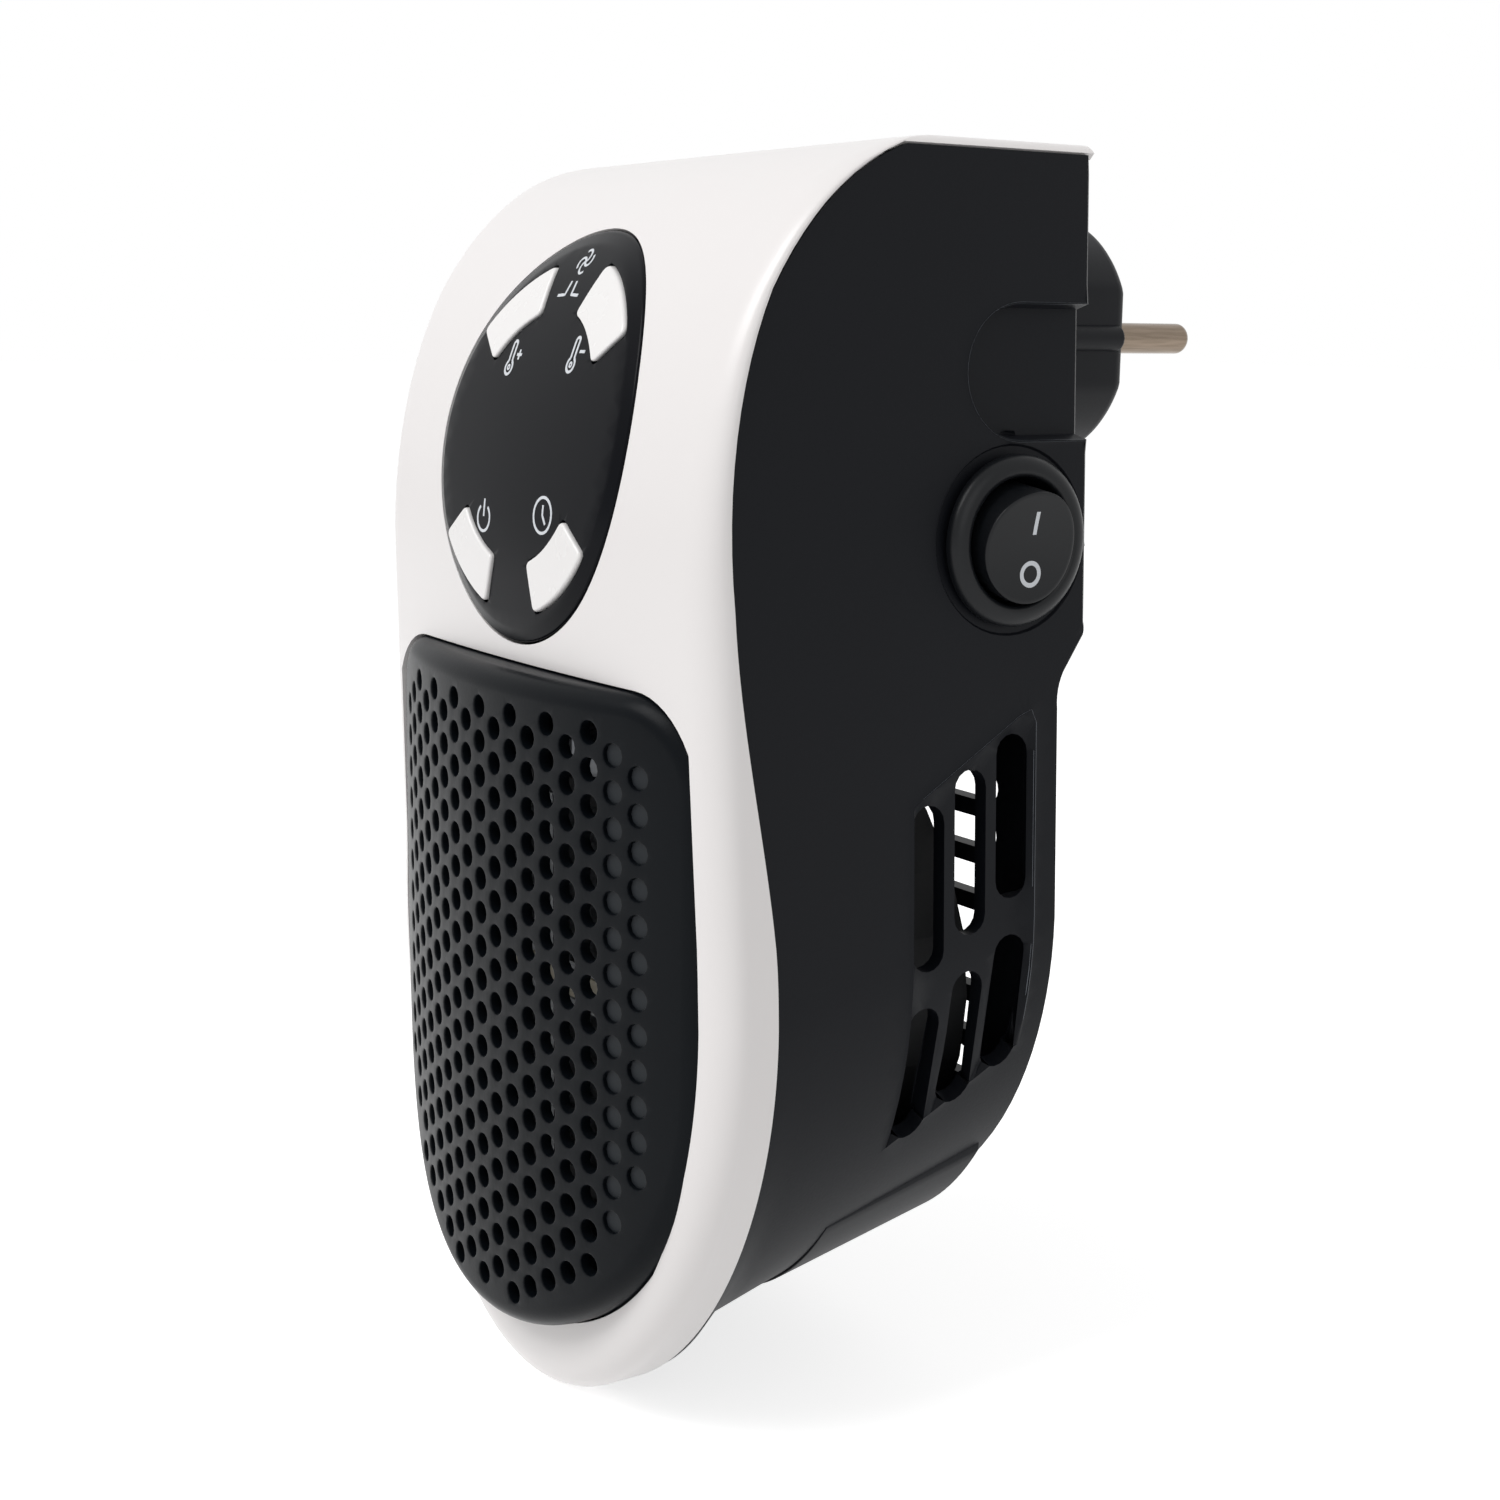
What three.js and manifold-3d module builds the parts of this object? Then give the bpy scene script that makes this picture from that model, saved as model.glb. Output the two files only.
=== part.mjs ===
// Plug-in fan heater: a white moulded front over a black rear case, a domed
// perforated grille, an oval touch panel, a round rocker switch and a plug
// that turns in the back of the case. Millimetres, +Z up, front towards -Y.
// Each piece is drawn with depth measured back from the grille's face and
// height measured from the grille's middle. The last lines move the heater
// so that the origin lies in the middle of the plug's end face.
import * as THREE from 'three';
import { mergeVertices } from 'three/addons/utils/BufferGeometryUtils.js';
import Module from 'manifold-3d';

const wasm = await Module();
wasm.setup();

// Clearances and walls
const gap = 0.3;
const overrun = 4;
const wall = 2.4;
const topPlate = 1.2;

// Housing, seen from the front
const halfWidth = 49.5;
const topHeight = 120.5;
const bottomHeight = -60;
const topLean = 4;
const topHalfWidth = halfWidth - topLean;
const arcCentreHeight = 5;
const cornerRadius = 3.6;
const smallestCorner = 1;
const caseInset = 0.5;

// Housing, seen from the side
const faceDepth = 6;
const faceBow = 3.9;
const faceBowTopDrop = 20;
const faceBowTop = topHeight - faceBowTopDrop;
const faceBowBottomRise = 10;
const faceBowBottom = arcCentreHeight + faceBowBottomRise;
const faceBowLeft = 0.12;
const crownDepth = 38.5;
const crownStartShare = 0.5;
const crownStartHeight = topHeight * crownStartShare;
const edgeRound = 5;
const edgeDepth = 3.8;
const edgeDepthTop = 1.6;
const backDepth = 71.5;
const backStep = 5.8;
const lowerBackDepth = backDepth - backStep;
const backArcCentreHeight = 14;
const backBottomRise = 19;
const backBottomHeight = bottomHeight + backBottomRise;
const caseLipDepth = 17.5;
const caseLipSlope = 4;
const caseLipRise = 4;
const backChamfer = 1.4;

// Parting line between the white front and the black case: how far behind
// the rounded edge of the front it lies, low down and near the top
const partingStrip = 5.3;
const partingStripTop = 0.3;
const partingStripRise = 15;
const partingStripBottom = arcCentreHeight + partingStripRise;

// Grille
const grilleSideMargin = 5;
const grilleHalfWidth = halfWidth - grilleSideMargin;
const grilleTopShare = 0.4;
const grilleTop = topHeight * grilleTopShare;
const grilleBottomMargin = 11.5;
const grilleBottom = bottomHeight + grilleBottomMargin;
const grilleArcHeight = -4;
const grilleCorner = 13;
const grilleShoulder = 3;
const grilleThickness = 2;
const grilleSkirt = 5;
const grilleCurveShare = 2.5;
const grilleCurveRadius = grilleHalfWidth * grilleCurveShare;
const columnHalfCount = 8;
const columnsAcrossHalf = 10.27;
const columnPitch = grilleHalfWidth / columnsAcrossHalf;
const rowsInHeight = 19.35;
const rowPitch = (grilleTop - grilleBottom) / rowsInHeight;
const middleRow = 9.5;
const blindColumns = 2;
const holeShare = 0.37;
const holeRadius = Math.min(columnPitch, rowPitch) * holeShare;

// The back's slanting step
const stepTopHeight = 54.5;
const stepRun = 8;
const stepBottomHeight = stepTopHeight - stepRun;

// Oval control panel and its buttons
const panelDrop = 40.5;
const panelHeight = topHeight - panelDrop;
const panelSideMargin = 22.8;
const panelHalfWidth = halfWidth - panelSideMargin;
const panelGrilleMargin = 3.1;
const panelHalfHeight = panelHeight - grilleTop - panelGrilleMargin;
const panelThickness = 2.2;
const panelProud = 0.8;
const buttonRim = 2.2;
const buttonOuter = Math.min(panelHalfWidth, panelHalfHeight) - buttonRim;
const buttonBand = 6.5;
const buttonInner = buttonOuter - buttonBand;
const buttonProud = 0.5;
const buttonDepth = 4;
const buttonStem = 1.5;
const buttonTravel = 0.8;
const buttonMiddleAngle = 54.5;
const buttonSpanAngle = 37;

// Display board behind the panel
const displayBoardRadius = buttonOuter;
const displayBoardThickness = 1.6;
const displayBoardDepth = 24;
const boardPostRadius = 2;
const tactSide = 6;
const tactPlunger = 1.6;
const displayMargin = 2;
const displayWidth = displayBoardRadius - displayMargin;
const displayHeight = displayWidth / 2;

// Plug
const plugDrop = 26;
const plugHeight = topHeight - plugDrop;
const plugFaceDepth = 104;
const plugRadius = 18.8;
const plugFlat = 17.2;
const plugChamfer = 2.2;
const plugRibHeight = 4.4;
const plugRibProud = 1.3;
const plugNeckRadius = 16.8;
const spigotRadius = 13.5;
const spigotReach = 4.3;
const pinRadius = 2.4;
const pinLength = 19;
const pinRoot = 8;
const pinTipWidthShare = 0.87;
const pinTipRestShare = 0.2;
const pinSpacing = 19;
const retainerRadius = 18.6;
const retainerThickness = 3;
const ringWidth = 2.5;
const ringThickness = 0.8;
const outerRingRadius = 12.5;
const innerRingRadius = 7.5;
const carrierThickness = 2;
const carrierGap = 4;
const carrierOverhang = 6;
const carrierHalfWidth = retainerRadius + carrierOverhang;
const carrierHalfHeight = 5;
const legThickness = 3;
const leafWidth = 2;

// Round rocker switch in the right wall
const switchDrop = 53;
const switchHeight = topHeight - switchDrop;
const flangeRadius = 12;
const switchBackMargin = 2.3;
const switchDepth = backDepth - flangeRadius - switchBackMargin;
const flangeThickness = 2;
const switchBore = 9;
const barrelRadius = 9.75;
const barrelDepth = 16;
const rockerRadius = 7.65;
const rockerRise = 5;
const rockerDepth = 3;
const rockerVee = 10;
const pivotSink = 2.6;
const pivotRadius = 1.2;
const pivotClearance = 0.1;
const terminalWidth = 4.8;
const terminalThickness = 0.8;
const terminalLength = 7;
const terminalSpacing = 8;

// Side vents, finger scoops and back intake
const ventWidth = 5.4;
const ventPitch = 7.2;
const ventReach = 21.7;
const ventFirstDepth = lowerBackDepth - ventReach;
const ventDrop = 22.4;
const ventUpperTop = stepTopHeight - ventDrop;
const ventUpperLength = 23.2;
const ventLowerLength = 20;
const ventRowGap = 5.2;
const ventClimb = 4.3;
const ventPanelSink = 1;
const ventPanelEdge = 0.6;
const scoopRadius = 8.7;
const scoopDrop = 4.5;
const scoopHeight = plugHeight - scoopDrop;
const scoopLength = 18.5;
const scoopFrontDepth = backDepth - scoopLength;
const scoopSink = 2.2;
const intakePitch = 7;
const intakeSlotHeight = 4.5;
const intakeDrop = 13.5;
const intakeTop = stepBottomHeight - intakeDrop;
const intakeMargin = 11;
const intakeHalfWidth = halfWidth - intakeMargin;
const intakeRib = 5;
const intakeRows = 8;

// Rear foot under the case
const footFrontDepth = 36;
const footDrop = 2.5;
const footInset = 4;

// Case screws, deep in wells, and the posts they pass through
const wellRadius = 3;
const wellWall = 1.2;
const screwSeatDepth = 40;
const seatThickness = 4;
const screwHeadRadius = 2.7;
const screwHeadHeight = 2;
const screwRadius = 1.5;
const screwLength = 14;
const upperScrewMargin = 11.7;
const upperScrewX = halfWidth - upperScrewMargin;
const upperScrewDrop = 14.5;
const upperScrewHeight = topHeight - upperScrewDrop;
const lowerScrewMargin = 27;
const lowerScrewX = halfWidth - lowerScrewMargin;
const lowerScrewRise = 4.6;
const lowerScrewHeight = Math.max(grilleTop, stepTopHeight) + lowerScrewRise;

// Heating element
const heaterDepth = 14;
const heaterThickness = 14;
const heaterShare = 0.62;
const heaterHalfWidth = halfWidth * heaterShare;
const heaterMargin = 32;
const heaterHalfHeight = -bottomHeight - heaterMargin;
const heaterFrameWall = 3;
const ptcHeight = 4;
const finCount = 13;
const finThickness = 0.8;
const finSpine = 1;

// Fan, duct and motor
const ductSpanShare = 0.85;
const baffleDepth = heaterDepth + heaterThickness + gap;
const baffleThickness = 2;
const baffleDrop = 5;
const baffleTop = Math.min(grilleTop, stepTopHeight) - baffleDrop;
const ductMargin = 15;
const ductRadius = Math.min(halfWidth, -bottomHeight * ductSpanShare) - ductMargin;
const ductWall = 2;
const ductBackMargin = 2.9;
const ductBack = lowerBackDepth - wall - ductBackMargin;
const fanBay = 17;
const motorPlateBack = baffleDepth + fanBay;
const tipClearance = 1.5;
const impellerRadius = ductRadius - tipClearance;
const hubRadius = 9;
const hubLength = 9;
const bladeCount = 7;
const bladeThickness = 1.2;
const bladeChord = 11;
const bladeRootAngle = 38;
const bladeTipAngle = 22;
const motorPlateRadius = 14;
const motorPlateThickness = 2;
const strutWidth = 4;
const motorRadius = 12;
const motorLength = 12.5;
const motorBossRadius = 3;
const shaftRadius = 1;
const shaftHole = 2.5;

// Power board and what stands on it
const postRadius = 3;
const boardDepth = 42;
const boardThickness = 1.6;
const boardMargin = 16.5;
const boardHalfWidth = halfWidth - boardMargin;
const wellClearance = 1;
const boardBottom = lowerScrewHeight + wellRadius + wellWall + wellClearance;
const boardTop = plugHeight + carrierHalfHeight + 2 * postRadius + 3 * gap;
const relayWidth = 19;
const relayHeight = 15;
const relayDepth = 13;
const filmWidth = 18;
const filmHeight = 8;
const filmDepth = 12;
const canRadius = 5;
const canLength = 14;
const blockWidth = 15;
const blockHeight = 8;
const blockDepth = 10;
const boardScrewHead = 2.6;
const boardScrewLength = 8;

// Facets on round forms
const roundSides = 24;
const plugSides = 36;
const smallSides = 12;
const holeSides = 6;
const arcSteps = 20;
const crownSteps = 8;
const cornerSteps = 3;
const topSteps = 6;

// Colours and finishes
const whiteAbs = { color: 0xe9e6e4, roughness: 0.35, metalness: 0 };
const blackAbs = { color: 0x1b1c1f, roughness: 0.6, metalness: 0 };
const slateAbs = { color: 0x20262b, roughness: 0.45, metalness: 0 };
const pianoBlack = { color: 0x0c0d10, roughness: 0.1, metalness: 0 };
const nickel = { color: 0xb9ac99, roughness: 0.3, metalness: 1 };
const brass = { color: 0xb58f4a, roughness: 0.35, metalness: 1 };
const steel = { color: 0x9a9da1, roughness: 0.35, metalness: 1 };
const aluminium = { color: 0xb4b7ba, roughness: 0.4, metalness: 1 };
const boardGreen = { color: 0x1f5a38, roughness: 0.5, metalness: 0 };
const nylon = { color: 0xd8d4c8, roughness: 0.5, metalness: 0 };
const relayBlue = { color: 0x25509a, roughness: 0.4, metalness: 0 };
const filmYellow = { color: 0xcf9f2a, roughness: 0.4, metalness: 0 };

const degrees = THREE.MathUtils.degToRad;

// Turns a closed three.js geometry into a solid that can be cut and joined.
function solid(geometry) {
  geometry.deleteAttribute('normal');
  geometry.deleteAttribute('uv');
  const merged = mergeVertices(geometry);
  const position = merged.getAttribute('position');
  const index = merged.getIndex().array;
  const corner = [0, 1, 2].map(() => new THREE.Vector3());
  const triangles = [];
  let volume = 0;
  for (let i = 0; i < index.length; i += 3) {
    const [a, b, c] = [index[i], index[i + 1], index[i + 2]];
    if (a === b || b === c || c === a) continue;
    corner.forEach((point, k) => point.fromBufferAttribute(position, index[i + k]));
    volume += corner[0].dot(corner[1].cross(corner[2]));
    triangles.push(a, b, c);
  }
  if (volume < 0) triangles.reverse();
  const triVerts = new Uint32Array(triangles);
  const vertProperties = new Float32Array(position.array);
  return new wasm.Manifold(new wasm.Mesh({ numProp: 3, vertProperties, triVerts }));
}

// Names a solid as one sub-part with its own material.
function piece(name, body, finish) {
  const mesh = body.getMesh();
  const geometry = new THREE.BufferGeometry();
  geometry.setAttribute('position', new THREE.BufferAttribute(mesh.vertProperties, 3));
  geometry.setIndex(new THREE.BufferAttribute(mesh.triVerts, 1));
  const flat = geometry.toNonIndexed();
  flat.computeVertexNormals();
  const part = new THREE.Mesh(flat, new THREE.MeshStandardMaterial(finish));
  part.name = name;
  return part;
}

function join(bodies) {
  return bodies.reduce((whole, body) => whole.add(body));
}

function box(x0, x1, y0, y1, z0, z1) {
  const geometry = new THREE.BoxGeometry(x1 - x0, y1 - y0, z1 - z0);
  geometry.translate((x0 + x1) / 2, (y0 + y1) / 2, (z0 + z1) / 2);
  return solid(geometry);
}

function shapeOf(points) {
  return new THREE.Shape(points.map(([a, b]) => new THREE.Vector2(a, b)));
}

function prism(points, length) {
  return new THREE.ExtrudeGeometry(shapeOf(points), { depth: length, bevelEnabled: false });
}

// Extrudes a front-view outline of [x, z] points between two depths.
function throughDepth(points, y0, y1) {
  const geometry = prism(points, y1 - y0);
  geometry.rotateX(Math.PI / 2);
  geometry.translate(0, y1, 0);
  return solid(geometry);
}

// Extrudes a side-view outline of [y, z] points between two x places.
function throughWidth(points, x0, x1) {
  const geometry = prism(points, x1 - x0);
  const turn = new THREE.Matrix4().makeBasis(
    new THREE.Vector3(0, 1, 0),
    new THREE.Vector3(0, 0, 1),
    new THREE.Vector3(1, 0, 0),
  );
  geometry.applyMatrix4(turn);
  geometry.translate(x0, 0, 0);
  return solid(geometry);
}

// A round bar along the depth, through [x, z].
function rodAlongDepth(radius, y0, y1, x, z, sides = smallSides) {
  const geometry = new THREE.CylinderGeometry(radius, radius, y1 - y0, sides);
  geometry.translate(x, (y0 + y1) / 2, z);
  return solid(geometry);
}

// A round bar along the width, through [y, z].
function rodAlongWidth(radius, x0, x1, y, z, sides = smallSides) {
  const geometry = new THREE.CylinderGeometry(radius, radius, x1 - x0, sides);
  geometry.rotateZ(Math.PI / 2);
  geometry.translate((x0 + x1) / 2, y, z);
  return solid(geometry);
}

// A turned body round a line along the depth: [radius, y] profile points.
function turned(profile, x, z, sides = roundSides) {
  const points = profile.map(([radius, y]) => new THREE.Vector2(radius, y));
  const geometry = new THREE.LatheGeometry(points, sides);
  geometry.translate(x, 0, z);
  return solid(geometry);
}

// Joins rings of equal point counts into one closed skin. Each end is a fan
// round its middle, or where a depth is given for the last one, rows of
// points between the mirror-image points of its two sides.
function loft(rings, faceDepthAt) {
  const count = rings[0].length;
  const vertices = rings.flat().map((p) => [p.x, p.y, p.z]).flat();
  const indices = [];
  for (let r = 0; r + 1 < rings.length; r += 1) {
    for (let i = 0; i < count; i += 1) {
      const a = r * count + i;
      const b = r * count + ((i + 1) % count);
      indices.push(a, b, b + count, a, b + count, a + count);
    }
  }
  const fan = (ring, first, last) => {
    const centre = new THREE.Vector3();
    ring.forEach((p) => centre.addScaledVector(p, 1 / count));
    vertices.push(centre.x, centre.y, centre.z);
    const hub = vertices.length / 3 - 1;
    for (let i = 0; i < count; i += 1) {
      const a = first + i;
      const b = first + ((i + 1) % count);
      indices.push(...(last ? [a, b, hub] : [b, a, hub]));
    }
  };
  fan(rings[0], 0, false);
  const end = (rings.length - 1) * count;
  const lastRing = rings[rings.length - 1];
  if (faceDepthAt) {
    const sideCount = (count - topSteps + 1) / 2;
    let below = new Array(topSteps + 1).fill(end);
    for (let i = 1; i <= sideCount; i += 1) {
      const row = rowBetween(lastRing, end, i, count, faceDepthAt, vertices, i === sideCount);
      for (let k = 0; k < topSteps; k += 1) {
        indices.push(below[k], row[k], row[k + 1], below[k], row[k + 1], below[k + 1]);
      }
      below = row;
    }
  } else {
    fan(lastRing, end, true);
  }
  const geometry = new THREE.BufferGeometry();
  geometry.setAttribute('position', new THREE.Float32BufferAttribute(vertices, 3));
  geometry.setIndex(indices);
  return solid(geometry);
}

// Point numbers of one row across a ring, from its right side to its left:
// new points between the two sides, or the ring's own straight top.
function rowBetween(ring, first, i, count, depthAt, vertices, top) {
  if (top) {
    return Array.from({ length: topSteps + 1 }, (_, k) => first + i + k);
  }
  const right = ring[i];
  const row = [first + i];
  for (let k = 1; k < topSteps; k += 1) {
    const x = right.x * (1 - (2 * k) / topSteps);
    vertices.push(x, depthAt(x, right.z), right.z);
    row.push(vertices.length / 3 - 1);
  }
  row.push(first + count - i);
  return row;
}

const frontArc = { centre: arcCentreHeight, bottom: bottomHeight };

// Front-view outline of the housing, drawn in by an inset: half an ellipse
// below, sides that lean in towards the top, round corners, a straight top.
// Every point on the right has its mirror image on the left.
function housingOutline(inset, arc = frontArc, top = topHeight, corner = cornerRadius - inset) {
  const width = halfWidth - inset;
  const topWidth = topHalfWidth - inset;
  const radius = Math.max(corner, smallestCorner);
  const crown = top - inset;
  const { centre } = arc;
  const drop = centre - arc.bottom - inset;
  const right = [];
  for (let i = 0; i < arcSteps / 2; i += 1) {
    const angle = (Math.PI * i) / arcSteps;
    right.push([width * Math.sin(angle), centre - drop * Math.cos(angle)]);
  }
  const cornerHeight = crown - radius;
  const leanAt = (height) => {
    return width + ((topWidth - width) * (height - centre)) / (cornerHeight - centre);
  };
  right.push([width, centre]);
  for (let i = 0; i < crownSteps; i += 1) {
    const rise = Math.sin((Math.PI * i) / (2 * crownSteps));
    const height = crownStartHeight + (cornerHeight - crownStartHeight) * rise;
    right.push([leanAt(height), height]);
  }
  for (let i = 0; i <= cornerSteps; i += 1) {
    const angle = (Math.PI * i) / (2 * cornerSteps);
    right.push([
      topWidth - radius + radius * Math.cos(angle),
      cornerHeight + radius * Math.sin(angle),
    ]);
  }
  const straight = [];
  for (let i = 1; i < topSteps; i += 1) {
    straight.push([(topWidth - radius) * (1 - (2 * i) / topSteps), crown]);
  }
  const left = right.slice(1).reverse().map(([x, z]) => [-x, z]);
  return [...right, ...straight, ...left];
}

// Half width of the housing at a height on its straight sides.
function sideAt(height, inset = 0) {
  const share = (height - arcCentreHeight) / (topHeight - cornerRadius - arcCentreHeight);
  return halfWidth + (topHalfWidth - halfWidth) * share - inset;
}

// How much a value that eases from low to high has changed at a height.
function easeAt(height, low, high) {
  return Math.min(1, Math.max(0, (height - low) / (high - low)));
}

// Depth of the white front's face: bowed across, less so towards the top,
// and bending back over the top as a quarter of an ellipse.
function faceAt(x, z) {
  const rise = Math.max(0, z - crownStartHeight) / (topHeight - crownStartHeight);
  const bend = crownDepth * (1 - Math.sqrt(Math.max(0, 1 - rise * rise)));
  const left = 1 - (1 - faceBowLeft) * easeAt(z, faceBowBottom, faceBowTop);
  return faceDepth + faceBow * left * (x / halfWidth) ** 2 + bend;
}

// How far back the rounded edge of the white front reaches.
function edgeDepthAt(z) {
  return edgeDepth + (edgeDepthTop - edgeDepth) * easeAt(z, crownStartHeight, faceBowTop);
}

// Depth of the grille's face: an upright arc across the width, cut into flat
// strips with one column of holes in each.
function grilleArcAt(x) {
  return grilleCurveRadius - Math.sqrt(grilleCurveRadius ** 2 - x * x);
}

function grilleFaceAt(x) {
  const place = x / columnPitch + 0.5;
  const strip = Math.floor(place);
  const share = place - strip;
  const near = grilleArcAt((strip - 0.5) * columnPitch);
  const far = grilleArcAt((strip + 0.5) * columnPitch);
  return near + (far - near) * share;
}

function ringAt(outline, depthOf) {
  return outline.map(([x, z]) => new THREE.Vector3(x, depthOf(x, z), z));
}

const roundAngleShares = [1, 0.66, 0.33, 0];

// The solid block inside the white front's skin, drawn in by an inset. Rings
// round its edge; rows from side to side then close its face.
function frontBlock(inset, backEnd) {
  const round = edgeRound - inset;
  const rings = [ringAt(housingOutline(inset), () => backEnd)];
  roundAngleShares.forEach((share) => {
    const angle = (share * Math.PI) / 2;
    const side = inset + round * (1 - Math.sin(angle));
    const turn = 1 - Math.cos(angle);
    const backAt = (z) => inset + (edgeDepthAt(z) - inset / 2) * turn;
    rings.push(ringAt(housingOutline(side), (x, z) => faceAt(x, z) + backAt(z)));
  });
  return loft(rings, (x, z) => faceAt(x, z) + inset);
}

// Half width of the housing's outline at a height.
function outlineAt(height) {
  const share = Math.min(1, Math.max(0, (arcCentreHeight - height) / (arcCentreHeight - bottomHeight)));
  return halfWidth * Math.sqrt(1 - share * share);
}

function partingAt(height) {
  const ease = easeAt(height, partingStripBottom, crownStartHeight);
  const strip = partingStrip + (partingStripTop - partingStrip) * ease;
  return faceAt(outlineAt(height), height) + edgeDepthAt(height) + strip;
}

// Side-view region behind the parting line, set back by a clearance.
function behindParting(clearance) {
  const top = topHeight - topPlate;
  const low = bottomHeight - overrun;
  const points = [];
  const straightSteps = arcSteps / 2;
  for (let i = 0; i <= straightSteps; i += 1) {
    const height = low + (crownStartHeight - low) * (i / straightSteps);
    points.push([partingAt(height) + clearance, height - clearance]);
  }
  const steps = arcSteps / 2;
  for (let i = 1; i <= steps; i += 1) {
    const rise = Math.sin((Math.PI * i) / (2 * steps));
    const height = crownStartHeight + (top - crownStartHeight) * rise;
    points.push([partingAt(height) + clearance, height - clearance]);
  }
  points.push([backDepth + overrun, top - clearance]);
  points.push([backDepth + overrun, low]);
  const across = halfWidth + overrun;
  return throughWidth(points, -across, across);
}

// Front-view outline of the grille, drawn in by an inset: half an ellipse
// below, straight sides and two rounded corners on top.
function grilleOutline(inset) {
  const radius = grilleHalfWidth - inset;
  const drop = grilleArcHeight - grilleBottom - inset;
  const corner = grilleCorner - inset;
  const points = [];
  for (let i = 0; i <= arcSteps; i += 1) {
    const angle = Math.PI + (Math.PI * i) / arcSteps;
    points.push([radius * Math.cos(angle), grilleArcHeight + drop * Math.sin(angle)]);
  }
  const cornerHeight = grilleTop - inset - corner;
  const turns = 2 * cornerSteps;
  for (let i = 0; i <= turns; i += 1) {
    const angle = (Math.PI * i) / (2 * turns);
    points.push([radius - corner + corner * Math.cos(angle), cornerHeight + corner * Math.sin(angle)]);
  }
  for (let i = 1; i < topSteps; i += 1) {
    points.push([(radius - corner) * (1 - (2 * i) / topSteps), grilleTop - inset]);
  }
  for (let i = 0; i <= turns; i += 1) {
    const angle = Math.PI / 2 + (Math.PI * i) / (2 * turns);
    points.push([corner - radius + corner * Math.cos(angle), cornerHeight + corner * Math.sin(angle)]);
  }
  return points;
}

function ovalOutline(grow) {
  const points = [];
  for (let i = 0; i < 2 * arcSteps; i += 1) {
    const angle = (Math.PI * i) / arcSteps;
    points.push([
      (panelHalfWidth + grow) * Math.cos(angle),
      panelHeight + (panelHalfHeight + grow) * Math.sin(angle),
    ]);
  }
  return points;
}

const screwPlaces = [
  { name: 'case_screw_upper_left', x: -upperScrewX, z: upperScrewHeight },
  { name: 'case_screw_upper_right', x: upperScrewX, z: upperScrewHeight },
  { name: 'case_screw_lower_left', x: -lowerScrewX, z: lowerScrewHeight },
  { name: 'case_screw_lower_right', x: lowerScrewX, z: lowerScrewHeight },
];
const seatFrontDepth = screwSeatDepth - seatThickness;

// White front: a thin moulding, open at the back, with an opening for the
// grille, one for the panel, and four screw posts inside.
function frontShell() {
  const skin = frontBlock(0, backDepth).subtract(frontBlock(wall, backDepth + overrun));
  const posts = screwPlaces.map(({ x, z }) => {
    const post = rodAlongDepth(screwRadius + wellWall, 0, seatFrontDepth - gap, x, z);
    return post.intersect(frontBlock(wall / 2, backDepth));
  });
  const bores = screwPlaces.map(({ x, z }) => {
    const end = seatFrontDepth + overrun;
    return rodAlongDepth(screwRadius + gap, screwSeatDepth - screwLength - gap, end, x, z);
  });
  return skin
    .subtract(behindParting(0))
    .add(join(posts))
    .subtract(join(bores))
    .subtract(throughDepth(grilleOutline(-gap), -overrun, backDepth))
    .subtract(throughDepth(ovalOutline(gap), -overrun, backDepth));
}

// Centre and lowest height of the case's lower arc at a depth. Behind a lip
// that meets the white front, the arc climbs towards the back.
function lowerArcAt(depth) {
  const share = Math.max(0, depth - caseLipDepth) / (lowerBackDepth - caseLipDepth);
  const lip = easeAt(depth, caseLipDepth, caseLipDepth + caseLipSlope);
  const start = bottomHeight + caseLipRise * lip;
  return {
    centre: arcCentreHeight + (backArcCentreHeight - arcCentreHeight) * share,
    bottom: start + (backBottomHeight - start) * share,
  };
}

// Solid block inside the black case's skin, drawn in by an inset.
function caseBlock(inset, frontEnd, backInset) {
  const top = topHeight - topPlate - gap + caseInset;
  const chamferStart = backDepth - backInset - backChamfer;
  const depths = [frontEnd, caseLipDepth, caseLipDepth + caseLipSlope, chamferStart];
  const rings = depths.map((depth) => {
    const outline = housingOutline(caseInset + inset, lowerArcAt(depth), top, smallestCorner);
    return ringAt(outline, () => depth);
  });
  const drawn = caseInset + inset + backChamfer;
  const end = housingOutline(drawn, lowerArcAt(backDepth), top, smallestCorner);
  rings.push(ringAt(end, () => backDepth - backInset));
  return loft(rings);
}

// Side-view region cut away below the back's slanting step, which an inset
// lifts and brings forward by the thickness of the wall.
function belowStep(inset) {
  const back = backDepth + overrun;
  const slope = (stepTopHeight - stepBottomHeight) / (backDepth - lowerBackDepth);
  const lift = inset * Math.hypot(1, slope);
  const low = bottomHeight - overrun;
  const points = [
    [lowerBackDepth - inset, low],
    [back, low],
    [back, stepTopHeight + slope * overrun + lift],
    [lowerBackDepth - inset, stepBottomHeight - slope * inset + lift],
  ];
  const across = halfWidth + overrun;
  return throughWidth(points, -across, across);
}

// An upright or level slot with round ends, as [a, b] points.
function slotOutline(a, b, halfA, halfB) {
  const radius = Math.min(halfA, halfB);
  const points = [];
  const steps = cornerSteps + 2;
  const upright = halfB > halfA;
  for (let end = 0; end < 2; end += 1) {
    for (let i = 0; i < steps; i += 1) {
      const angle = (Math.PI * i) / (steps - 1) + Math.PI * end - (upright ? 0 : Math.PI / 2);
      const shift = (upright ? halfB : halfA) - radius;
      const side = end ? -shift : shift;
      points.push([
        a + radius * Math.cos(angle) + (upright ? 0 : side),
        b + radius * Math.sin(angle) + (upright ? side : 0),
      ]);
    }
  }
  return points;
}

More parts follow.
